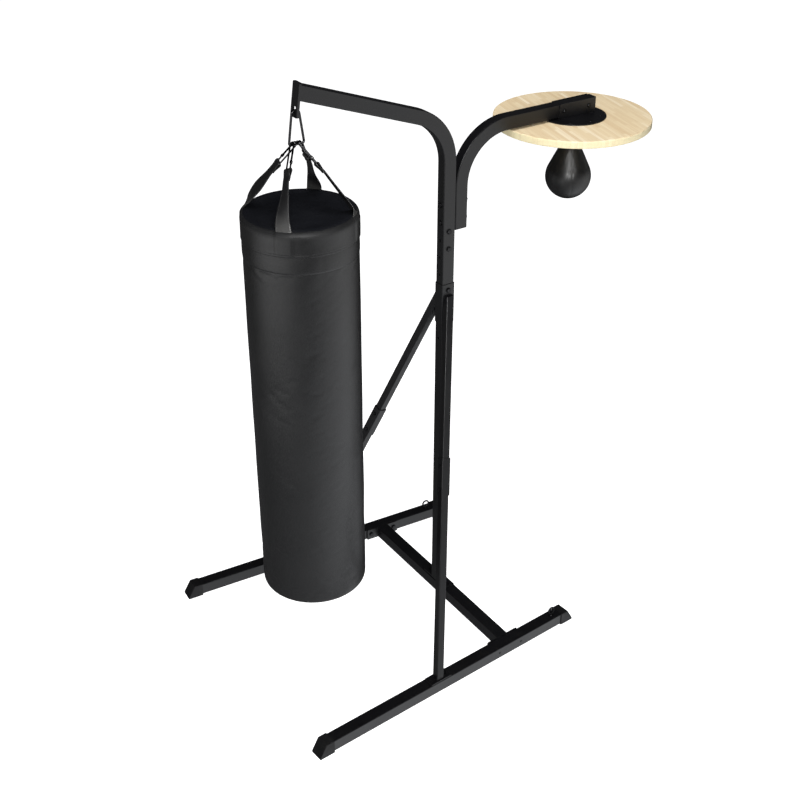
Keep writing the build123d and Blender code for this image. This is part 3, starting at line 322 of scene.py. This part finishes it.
def turned_skin(name, centre, rows, count, shape, finish, capped=True, levels=1):
    """Skin round an upright axis from rows of (radius, height), bottom row first.

    shape(angle, height) is added to the radius, so that sewn and stuffed parts aren't perfectly round."""
    verts, faces = [], []
    for radius, z in rows:
        for i in range(count):
            angle = math.tau * i / count
            full = radius + shape(angle, z) * min(1.0, radius / 0.06)
            verts.append((centre.x + full * math.cos(angle), centre.y + full * math.sin(angle), z))
    for j in range(len(rows) - 1):
        for i in range(count):
            k = (i + 1) % count
            faces.append((j * count + i, j * count + k, (j + 1) * count + k, (j + 1) * count + i))
    if capped:
        last = (len(rows) - 1) * count
        verts.append((centre.x, centre.y, rows[0][1]))
        verts.append((centre.x, centre.y, rows[-1][1]))
        for i in range(count):
            k = (i + 1) % count
            faces.append((k, i, len(verts) - 2))
            faces.append((last + i, last + k, len(verts) - 1))
    return skin_object(name, verts, faces, finish, levels)


def puff(piece, sewn, pressure, limit, slack):
    """Blows a stuffed skin up as cloth while its sewn lines hold, then keeps that shape."""
    mesh = piece.data
    start = [v.co.copy() for v in mesh.vertices]
    held = piece.vertex_groups.new(name="sewn")
    held.add([v.index for v in mesh.vertices if sewn(v.co)], 1.0, "REPLACE")
    cloth = piece.modifiers.new("cloth", "CLOTH")
    piece.modifiers.move(len(piece.modifiers) - 1, 0)
    fabric = cloth.settings
    fabric.quality = 4
    fabric.mass = 0.25
    fabric.vertex_group_mass = held.name
    fabric.use_pressure = True
    fabric.uniform_pressure_force = pressure
    fabric.shrink_min = -slack
    fabric.effector_weights.gravity = 0
    cloth.collision_settings.use_collision = False
    cloth.point_cache.frame_start, cloth.point_cache.frame_end = 1, PUFF_FRAMES
    for other in piece.modifiers:
        other.show_viewport = other == cloth
    scene = bpy.context.scene
    for step in range(1, PUFF_FRAMES + 1):
        scene.frame_set(step)
    blown = piece.evaluated_get(bpy.context.evaluated_depsgraph_get()).to_mesh()
    final = [v.co.copy() for v in blown.vertices]
    piece.modifiers.remove(cloth)
    for other in piece.modifiers:
        other.show_viewport = True
    for vertex, was, now in zip(mesh.vertices, start, final):
        move = now - was
        if move.length > limit:
            move *= limit / move.length
        vertex.co = was + move
    mesh.update()
    scene.frame_set(1)


def ripple(place, size, height, seed):
    return noise.noise(Vector(place) / size + Vector((seed, seed * 1.7, 0))) * height


bag_low, bag_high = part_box("bag_shell")
bag_centre = (bag_low + bag_high) / 2
BAG_R = (bag_high.x - bag_low.x) / 2
BAG_TOP, BAG_FOOT = bag_high.z, bag_low.z
COLLAR_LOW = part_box("bag_collar")[0].z
BODY_SEAM = COLLAR_LOW - 0.0015
HEM_STITCH = COLLAR_LOW + 0.0085
SECOND_SEAM = COLLAR_LOW - 0.056
SHOULDER = 0.020
FOOT_EDGE = 0.014
STRAP_THICK = 0.003
CORNERS = {"back": (1, 1), "left": (-1, 1), "front": (-1, -1), "right": (1, -1)}
SIDE_SEAM = math.radians(262)


def bag_wave(angle, z):
    """Packed stuffing pushes the vinyl out a little unevenly."""
    place = (math.cos(angle) * 0.19, math.sin(angle) * 0.19, z)
    low = smooth_step(z, BAG_FOOT, BAG_FOOT + 0.05) * (1 - smooth_step(z, COLLAR_LOW - 0.12, COLLAR_LOW))
    return low * (ripple(place, 0.16, 0.0010, 3) + ripple(place, 0.055, 0.0002, 9))


def seam_dip(value, line, width, depth):
    return -depth * math.exp(-((value - line) / width) ** 2)


def body_shape(angle, z):
    off = (angle - SIDE_SEAM + math.pi) % math.tau - math.pi
    dip = seam_dip(z, BODY_SEAM, 0.014, 0.0012) + seam_dip(off * BAG_R, 0.0, 0.003, 0.0006)
    step = 0.0010 * smooth_step(z, SECOND_SEAM - 0.0015, SECOND_SEAM + 0.0010)
    return bag_wave(angle, z) + dip + step


def arc_rows(centre_r, centre_z, radius, first, last, steps):
    return [(centre_r + radius * math.cos(math.radians(first + (last - first) * i / steps)),
             centre_z + radius * math.sin(math.radians(first + (last - first) * i / steps)))
            for i in range(steps + 1)]


def heights(low, high, pitch, fine_at):
    """Row heights at an even pitch, closer together beside each seam."""
    count = max(2, round((high - low) / pitch))
    even = [low + (high - low) * i / count for i in range(count + 1)]
    close = [line + step for line in fine_at for step in (-0.005, -0.0025, -0.001, 0.001, 0.0025, 0.005)]
    kept = [z for z in even if all(abs(z - line) > 0.008 for line in fine_at)]
    return sorted(kept + close)


body_r = BAG_R - 0.0012
BODY_FOOT = BAG_FOOT - 0.0015
body_rows = [(r, BODY_FOOT) for r in (0.02, 0.06, 0.10, 0.14, 0.16)]
body_rows += arc_rows(body_r - FOOT_EDGE, BODY_FOOT + FOOT_EDGE, FOOT_EDGE, -90, -6, 6)
body_rows += [(body_r, z) for z in heights(BAG_FOOT + 0.026, BAG_TOP - SHOULDER - 0.004, 0.010,
                                           [SECOND_SEAM, BODY_SEAM])]
body_rows += arc_rows(body_r - SHOULDER, BAG_TOP - SHOULDER, SHOULDER, 0, 88, 6)
body_rows += [(r, BAG_TOP - drop)
              for r, drop in ((0.162, 0.004), (0.14, 0.011), (0.09, 0.013), (0.03, 0.014))]
bag_body = turned_skin("bag_body", bag_centre, body_rows, 128, body_shape, "bag_vinyl")


def on_bag_seam(co):
    off = (math.atan2(co.y - bag_centre.y, co.x - bag_centre.x) - SIDE_SEAM + math.pi) % math.tau - math.pi
    return (co.z > COLLAR_LOW - 0.004 or abs(co.z - SECOND_SEAM) < 0.004 or co.z < BAG_FOOT + 0.012
            or abs(off) * BAG_R < 0.006)


puff(bag_body, on_bag_seam, 4.0, 0.0012, 0.0015)


def strap_bulge(angle):
    """How far a strap under the collar lifts it: 1 over the strap, 0 beside it."""
    lift = 0.0
    for x_sign, y_sign in CORNERS.values():
        off = (angle - math.atan2(y_sign, x_sign) + math.pi) % math.tau - math.pi
        lift = max(lift, 1 - smooth_step(abs(off) * BAG_R, 0.0235, 0.0340))
    return lift


def collar_shape(angle, z):
    lift = 0.0030 * strap_bulge(angle) * smooth_step(z, COLLAR_LOW - 0.01, COLLAR_LOW + 0.02)
    hem = seam_dip(z, HEM_STITCH, 0.0016, 0.0007)
    place = (math.cos(angle) * 0.19, math.sin(angle) * 0.19, z * 3)
    return lift + hem + ripple(place, 0.05, 0.0006, 21)


collar_rows = [(BAG_R - 0.0012, COLLAR_LOW + 0.004), (BAG_R - 0.0002, COLLAR_LOW + 0.0006),
               (BAG_R + 0.0012, COLLAR_LOW), (BAG_R + 0.0020, COLLAR_LOW + 0.0014)]
collar_rows += [(BAG_R + 0.0019, COLLAR_LOW + rise) for rise in (0.004, 0.0065, 0.0078, 0.0092, 0.0105)]
collar_rows += [(BAG_R + 0.0011, COLLAR_LOW + rise) for rise in (0.014, 0.024, 0.036, 0.048, 0.058)]
collar_rows += arc_rows(BAG_R - 0.0001 - SHOULDER, BAG_TOP - SHOULDER, SHOULDER + 0.0012, 0, 52, 5)
collar_rows += [(BAG_R - 0.0084, BAG_TOP - 0.0036), (BAG_R - 0.0092, BAG_TOP - 0.0044)]
collar = turned_skin("bag_collar_band", bag_centre, collar_rows, 256, collar_shape, "bag_vinyl", capped=False)


def lid_height(radius, angle):
    """The top panel sinks a little between the sewn rim and its middle, with soft pulls toward the straps."""
    pull = 0.0
    for x_sign, y_sign in CORNERS.values():
        off = (angle - math.atan2(y_sign, x_sign) + math.pi) % math.tau - math.pi
        pull += math.exp(-(off * 2.2) ** 2)
    place = (math.cos(angle) * radius, math.sin(angle) * radius, 0)
    sag = 0.0035 + 0.0025 * pull * smooth_step(radius, 0.03, 0.14)
    rim = 1 - smooth_step(radius, 0.13, BAG_R - SHOULDER)
    return BAG_TOP + 0.0002 - sag * rim + rim * ripple(place, 0.045, 0.0022, 31)


top_verts, top_faces = [], []
TOP_COUNT = 128


def round_bag(radius, angle, z):
    """A point at a radius and an angle round the bag's own axis."""
    return bag_centre.x + radius * math.cos(angle), bag_centre.y + radius * math.sin(angle), z


top_radii = [0.008, 0.02, 0.035, 0.05, 0.065, 0.08, 0.095, 0.11, 0.125, 0.14, 0.152, 0.160, 0.1655, 0.1685]
for radius in top_radii:
    for i in range(TOP_COUNT):
        angle = math.tau * i / TOP_COUNT
        top_verts.append(round_bag(radius, angle, lid_height(radius, angle)))
edge_rows = arc_rows(BAG_R - 0.0004 - SHOULDER, BAG_TOP - SHOULDER, SHOULDER, 82, 14, 6)
for radius, z in edge_rows:
    for i in range(TOP_COUNT):
        top_verts.append(round_bag(radius, math.tau * i / TOP_COUNT, z))
for j in range(len(top_radii) + len(edge_rows) - 1):
    for i in range(TOP_COUNT):
        k = (i + 1) % TOP_COUNT
        low, high = j * TOP_COUNT, (j + 1) * TOP_COUNT
        top_faces.append((low + i, high + i, high + k, low + k))
top_verts.append((bag_centre.x, bag_centre.y, lid_height(0, 0)))
top_faces += [(i, (i + 1) % TOP_COUNT, len(top_verts) - 1) for i in range(TOP_COUNT)]
bag_cover = skin_object("bag_top_cover", top_verts, top_faces, "bag_canvas")


def stitch_row(name, path, pitch, length, radius, finish):
    """A row of separate thread stitches along a list of points, as one mesh of small capsules."""
    points = [Vector(p) for p in path]
    gaps = [(b - a).length for a, b in zip(points, points[1:])]
    total = sum(gaps)
    verts, faces = [], []

    def at(distance):
        for gap, a, b in zip(gaps, points, points[1:]):
            if distance <= gap:
                return a.lerp(b, distance / gap)
            distance -= gap
        return points[-1]

    for n in range(int(total / pitch)):
        head, tail = at(n * pitch), at(n * pitch + length)
        along = (tail - head).normalized()
        side = along.orthogonal().normalized()
        other = along.cross(side)
        base = len(verts)
        for step, wide in ((0.0, 0.35), (0.18, 0.9), (0.5, 1.0), (0.82, 0.9), (1.0, 0.35)):
            middle = head.lerp(tail, step)
            for i in range(6):
                turn = math.tau * i / 6
                verts.append(middle + (side * math.cos(turn) + other * math.sin(turn)) * radius * wide)
        for ring in range(4):
            for i in range(6):
                k = (i + 1) % 6
                faces.append((base + ring * 6 + i, base + ring * 6 + k,
                              base + ring * 6 + 6 + k, base + ring * 6 + 6 + i))
        faces.append(tuple(base + i for i in reversed(range(6))))
        faces.append(tuple(base + 24 + i for i in range(6)))
    return skin_object(name, verts, faces, finish, levels=0)


def hoop(radius_at, z, count=400):
    angles = [math.tau * i / count for i in range(count + 1)]
    return [round_bag(radius_at(angle), angle, z) for angle in angles]


hem_stitches = stitch_row("collar_hem_stitches",
                          hoop(lambda a: BAG_R + 0.0014 + collar_shape(a, HEM_STITCH), HEM_STITCH),
                          0.0062, 0.0044, 0.0005, "bag_webbing")


def smooth_path(points, per_span):
    """Catmull-Rom line through given points."""
    line = []
    for n in range(len(points) - 1):
        p0, p1 = points[max(0, n - 1)], points[n]
        p2, p3 = points[n + 1], points[min(len(points) - 1, n + 2)]
        for k in range(per_span):
            t = k / per_span
            line.append(0.5 * ((2 * p1) + (p2 - p0) * t + (2 * p0 - 5 * p1 + 4 * p2 - p3) * t * t
                               + (3 * p1 - p0 - 3 * p2 + p3) * t ** 3))
    line.append(points[-1])
    return line


def strip_faces(rows, across):
    """Quads of a strip whose rows each hold across + 1 points."""
    wide = across + 1
    return [(n * wide + i, n * wide + i + 1, (n + 1) * wide + i + 1, (n + 1) * wide + i)
            for n in range(rows - 1) for i in range(across)]


openings = {row["name"]: row["box_m"] for row in frame["record"]["physics"]["openings"]}


def middle_of(name):
    low, high = openings[name]
    return (Vector(low) + Vector(high)) / 2


TO_LOWER_BEND = 0.05475
STRAP_NARROW, STRAP_WIDE = 0.030, 0.050
ACROSS = 10
PER_SPAN = 6
BOWS = {"back": 0.004, "left": 0.004, "front": 0.007, "right": 0.002}
WIDENS = {"back": (0.0, 0.7), "left": (0.0, 0.4), "front": (0.1, 0.9), "right": (0.0, 0.9)}


def webbing(corner, turn_from, turn_to):
    """One strap: round the hook's lower bend, sewn to itself, then over the rim and under the collar."""
    x_sign, y_sign = CORNERS[corner]
    outward = Vector((x_sign, y_sign, 0)).normalized()
    tangent = Vector((-outward.y, outward.x, 0))
    upper, lower = middle_of(f"snap_hook_{corner}_upper_gap"), middle_of(f"snap_hook_{corner}_lower_gap")
    down = (lower - upper).normalized()
    bend = upper + down * TO_LOWER_BEND
    wire = Vector((0, 1, 0)) - down * down.y
    wire.normalize()
    if wire.dot(tangent) < 0:
        wire.negate()
    face = wire.cross(down)
    if face.z < 0:
        face.negate()
    axis = Vector((bag_centre.x, bag_centre.y, 0))

    def rim(radius, z):
        return axis + outward * radius + Vector((0, 0, z))

    outside = BAG_R + 0.0010
    loop = [bend + down * 0.036 - face * 0.0017, bend + down * 0.022 - face * 0.0019,
            bend + down * 0.009 - face * 0.0038, bend - face * 0.0046, bend - down * 0.0046,
            bend + face * 0.0046, bend + down * 0.009 + face * 0.0038, bend + down * 0.022 + face * 0.0017,
            bend + down * 0.036 + face * 0.0017]
    arc = [rim(r, z) for r, z in arc_rows(outside - SHOULDER - 0.001, BAG_TOP - SHOULDER - 0.001,
                                          SHOULDER + 0.0012, 52, 4, 4)]
    bow = wire.cross(arc[0] - loop[-1]).normalized()
    bow *= BOWS[corner] if bow.z > 0 else -BOWS[corner]
    run = [loop[-1].lerp(arc[0], t) + bow * math.sin(math.pi * t * t) for t in (0.2, 0.4, 0.6, 0.8, 0.9)]
    drop = [rim(outside, BAG_TOP - fall) for fall in (0.035, 0.055, 0.075)]
    line = smooth_path(loop + run + arc + drop, PER_SPAN)
    first_turn, last_turn = (len(loop) - 1) * PER_SPAN, (len(loop) + len(run)) * PER_SPAN
    verts, lay = [], []
    travelled = 0.0
    for n, point in enumerate(line):
        ahead = (line[min(n + 1, len(line) - 1)] - line[max(n - 1, 0)]).normalized()
        if n:
            travelled += (point - line[n - 1]).length
        part = (n - first_turn) / (last_turn - first_turn)
        turned = smooth_step(part, turn_from, turn_to)
        wide = wire.lerp(tangent, turned)
        wide = (wide - ahead * wide.dot(ahead)).normalized()
        up = ahead.cross(wide).normalized()
        width = STRAP_NARROW + (STRAP_WIDE - STRAP_NARROW) * smooth_step(part, *WIDENS[corner])
        for i in range(ACROSS + 1):
            u = i / ACROSS - 0.5
            cup = 0.0012 * (1 - 4 * u * u) * math.sin(math.pi * min(1.0, max(0.0, part)))
            wrap = (u * width) ** 2 / (2 * BAG_R) * smooth_step(part, 0.9, 1.05)
            verts.append(point + wide * (u * width) + up * cup - outward * wrap)
            lay.append((u * width, travelled, (0.5 - abs(u)) * width))
    faces = strip_faces(len(line), ACROSS)
    piece = skin_object(f"webbing_{corner}", verts, faces, "bag_webbing", levels=0)
    strip = piece.data.attributes.new(STRIP_MAP, "FLOAT_VECTOR", "POINT")
    strip.data.foreach_set("vector", [value for row in lay for value in row])
    thick = piece.modifiers.new("thickness", "SOLIDIFY")
    thick.thickness = STRAP_THICK
    thick.offset = 0.0
    rounding = piece.modifiers.new("rounding", "SUBSURF")
    rounding.levels = rounding.render_levels = 1
    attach(piece, "heavy_bag")
    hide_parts(f"bag_strap_{corner}")
    return piece


TURNS = {"back": (0.2, 0.9), "left": (0.35, 1.05), "front": (0.0, 0.6), "right": (0.75, 1.0)}
for corner, (turn_from, turn_to) in TURNS.items():
    webbing(corner, turn_from, turn_to)

for piece, nodes in ((bag_body, ("bag_shell", "bag_filling")), (collar, ("bag_collar",)),
                     (bag_cover, ("bag_lid",)), (hem_stitches, ())):
    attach(piece, "heavy_bag")
    if nodes:
        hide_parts(*nodes)

# ---- speed ball ----

ball_low, ball_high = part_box("speed_ball_shell")
ball_centre = (ball_low + ball_high) / 2
BALL_R = (ball_high.x - ball_low.x) / 2
BALL_MIDDLE = ball_low.z + 0.082
PANELS = 6


def ball_rows():
    """Round below, straight shoulders above, drawn in at the neck."""
    low = arc_rows(0, BALL_MIDDLE, 1.0, -86, 26, 26)
    rows = []
    for c, sine in low:
        angle = math.asin(max(-1, min(1, sine - BALL_MIDDLE)))
        height = (BALL_MIDDLE - ball_low.z) if angle < 0 else 0.0832
        rows.append((c * BALL_R, BALL_MIDDLE + math.sin(angle) * height))
    r0, z0 = rows[-1]
    neck_r, neck_z = 0.039, ball_high.z - 0.012
    for i in range(1, 9):
        rows.append((r0 + (neck_r - r0) * i / 8, z0 + (neck_z - z0) * i / 8))
    rows += [(0.036, ball_high.z - 0.007), (0.030, ball_high.z - 0.003), (0.022, ball_high.z - 0.0008),
             (0.014, ball_high.z - 0.0008)]
    return rows


def ball_shape(angle, z):
    off = (angle * PANELS / math.tau) % 1.0
    seam = min(off, 1 - off) * math.tau / PANELS * 0.07
    return seam_dip(seam, 0.0, 0.0016, 0.0007) - 0.0004


ball = turned_skin("ball_leather_skin", ball_centre, ball_rows(), 120, ball_shape, "ball_leather")


def on_ball_seam(co):
    angle = math.atan2(co.y - ball_centre.y, co.x - ball_centre.x) % math.tau
    off = (angle * PANELS / math.tau) % 1.0
    return min(off, 1 - off) < 0.03 or co.z > ball_high.z - 0.02 or co.z < ball_low.z + 0.004


puff(ball, on_ball_seam, 3.0, 0.0012, 0.001)
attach(ball, "speed_ball")
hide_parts("speed_ball_shell", "speed_ball_bladder")

loop_low, loop_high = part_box("speed_ball_loop")
LOOP_ARC_Z = loop_high.z - 0.008
LOOP_R = 0.0066


def leather_loop():
    """A leather strip through the swivel's eye, both ends turned out flat on the ball."""
    foot = [(-0.0105, 0.0019), (-0.0086, 0.0021), (-0.0069, 0.0031), (-0.0062, 0.0050), (-0.0065, 0.0078)]
    side = [(y, loop_low.z + rise) for y, rise in foot]
    over = arc_rows(0, LOOP_ARC_Z, LOOP_R, 180, 0, 6)
    path = side + over + [(-y, z) for y, z in reversed(side)]
    line = smooth_path([Vector((ball_centre.x, ball_centre.y + y, z)) for y, z in path], 3)
    verts = []
    for point in line:
        flare = 1 - smooth_step(point.z, loop_low.z + 0.002, loop_low.z + 0.006)
        half = 0.0033 + 0.0020 * flare
        verts += [point + Vector((half * t, 0, 0)) for t in (-1, -0.5, 0, 0.5, 1)]
    faces = strip_faces(len(line), 4)
    piece = skin_object("ball_loop_leather", verts, faces, "ball_leather", levels=0)
    thick = piece.modifiers.new("thickness", "SOLIDIFY")
    thick.thickness, thick.offset = 0.0022, 0.0
    rounding = piece.modifiers.new("rounding", "SUBSURF")
    rounding.levels = rounding.render_levels = 1
    return piece


tab_rows = [(0.010, loop_low.z + 0.0002), (0.0117, loop_low.z + 0.0005), (0.0119, loop_low.z + 0.0011),
            (0.0113, loop_low.z + 0.0018), (0.008, loop_low.z + 0.0020), (0.004, loop_low.z + 0.0020)]
ball_loop = leather_loop()
ball_tab = turned_skin("ball_loop_tab", ball_centre, tab_rows, 48, lambda angle, z: 0.0, "ball_leather")
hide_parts("speed_ball_loop")
for piece in (ball_loop, ball_tab):
    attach(piece, "speed_ball")

# ---------------------------------------------------------------- stage

# How bright the paper looks in glossy surfaces, by direction in degrees from the front, near and far.
NEAR_CARD = ((-180, 0.02), (-106, 0.12), (-47, 0.36), (0, 0.66), (35, 1.15), (89, 1.50),
             (118, 0.70), (140, 0.03))
FAR_CARD = ((-180, 0.02), (-100, 0.12), (-62, 1.75), (-35, 1.80), (-4, 0.42), (16, 0.05),
            (50, 0.95), (89, 1.35), (118, 0.6), (140, 0.03))
FAR_FROM, FAR_FULL = 2.78, 2.92
FLOOR_LIFT = 1.0
ROOM_LIGHT = 0.03
RIGHT_OF_STAND = (0.8333, -0.5529, 0.0)
FRONT_OF_STAND = (-0.5529, -0.8333, 0.0)


def direction_card(s, spot, card):
    """Brightness by direction round the stand, from a list of (degrees from the front, level)."""
    rightness = s.add("VectorMath", {0: spot, 1: RIGHT_OF_STAND}, operation="DOT_PRODUCT").outputs["Value"]
    frontness = s.add("VectorMath", {0: spot, 1: FRONT_OF_STAND}, operation="DOT_PRODUCT").outputs["Value"]
    turn = s.span(s.math("ARCTAN2", rightness, frontness), -math.pi, math.pi)
    stops = [((degrees + 180) / 360, (level / 2,) * 3) for degrees, level in card]
    return s.math("MULTIPLY", s.ramp(turn, *stops), 2.0)


def studio_floor():
    """Pale paper. Glossy surfaces see the studio's light cards in its place: the world's near it,
    and a card of its own further out."""
    s = Shader("paper_floor", roughness=0.9, specular=0.1)
    tint = s.ramp(s.noise(1.5, 2), (0.3, (0.84, 0.84, 0.84)), (0.7, (0.87, 0.87, 0.87)))
    rays = s.add("LightPath").outputs
    s.surface.inputs["Emission Color"].default_value = (1, 1, 1, 1)
    s.tree.links.new(s.math("MULTIPLY", rays["Is Camera Ray"], FLOOR_LIFT),
                     s.surface.inputs["Emission Strength"])
    material = s.done(tint)
    spot = s.add("VectorMath", {0: s.place, 1: (0.54, 0.0, 0.0)}, operation="ADD").outputs["Vector"]
    far = s.add("VectorMath", {0: spot}, operation="LENGTH").outputs["Value"]
    glow = s.add("Emission", {"Strength": direction_card(s, spot, FAR_CARD)}).outputs["Emission"]
    near = s.add("BsdfTransparent").outputs["BSDF"]
    cards = s.add("MixShader", {0: s.span(far, FAR_FROM, FAR_FULL), 1: near, 2: glow}).outputs["Shader"]
    swap = s.add("MixShader", {0: rays["Is Glossy Ray"], 1: s.surface.outputs["BSDF"], 2: cards})
    s.tree.links.new(swap.outputs["Shader"], s.tree.nodes["Material Output"].inputs["Surface"])
    return material


floor_mesh = bpy.data.meshes.new("floor")
floor_mesh.from_pydata([(-60, -60, 0), (60, -60, 0), (60, 60, 0), (-60, 60, 0)], [], [(0, 1, 2, 3)])
floor = bpy.data.objects.new("floor", floor_mesh)
bpy.context.scene.collection.objects.link(floor)
floor_mesh.materials.append(studio_floor())


def softbox(name, place, aim, size, watts, mirrored=True):
    data = bpy.data.lights.new(name, "AREA")
    data.shape = "RECTANGLE"
    data.size, data.size_y = size
    data.energy = watts
    light = bpy.data.objects.new(name, data)
    light.location = place
    light.rotation_mode = "QUATERNION"
    light.rotation_quaternion = (Vector(aim) - Vector(place)).to_track_quat("-Z", "Y")
    light.visible_camera = False
    light.visible_glossy = mirrored
    bpy.context.scene.collection.objects.link(light)


CENTRE = (0.0, 0.0, 1.1)
softbox("overhead", (-0.3, -0.7, 5.2), CENTRE, (2.6, 2.6), 150, mirrored=False)
softbox("key", (-2.4, -4.2, 3.7), CENTRE, (1.7, 1.1), 225)


def studio_world():
    """White where the camera looks, a dim room with low light cards round it for everything else."""
    world = bpy.data.worlds.new("studio")
    world.use_nodes = True
    s = Shader.__new__(Shader)
    s.tree = world.node_tree
    back = s.tree.nodes["Background"]
    back.inputs["Color"].default_value = (0.95, 0.97, 1.0, 1)
    toward = s.add("TexCoord").outputs["Generated"]
    low = s.span(s.add("SeparateXYZ", {"Vector": toward}).outputs["Z"], -0.02, 0.02, 1.0, 0.0)
    glow = s.math("ADD", s.math("MULTIPLY", direction_card(s, toward, NEAR_CARD), low), ROOM_LIGHT)
    seen = s.add("LightPath").outputs["Is Camera Ray"]
    s.tree.links.new(s.math("MAXIMUM", seen, glow), back.inputs["Strength"])
    return world


bpy.context.scene.world = studio_world()
bpy.context.scene.view_settings.view_transform = "Standard"

lens = bpy.data.cameras.new("camera")
lens.lens = CAMERA_LENS
lens.sensor_width = 36
lens.clip_start, lens.clip_end = 0.05, 200
camera = bpy.data.objects.new("camera", lens)
camera.location = CAMERA_PLACE
camera.rotation_mode = "QUATERNION"
camera.rotation_quaternion = Vector(CAMERA_AIM).to_track_quat("-Z", "Y")
bpy.context.scene.collection.objects.link(camera)
bpy.context.scene.camera = camera
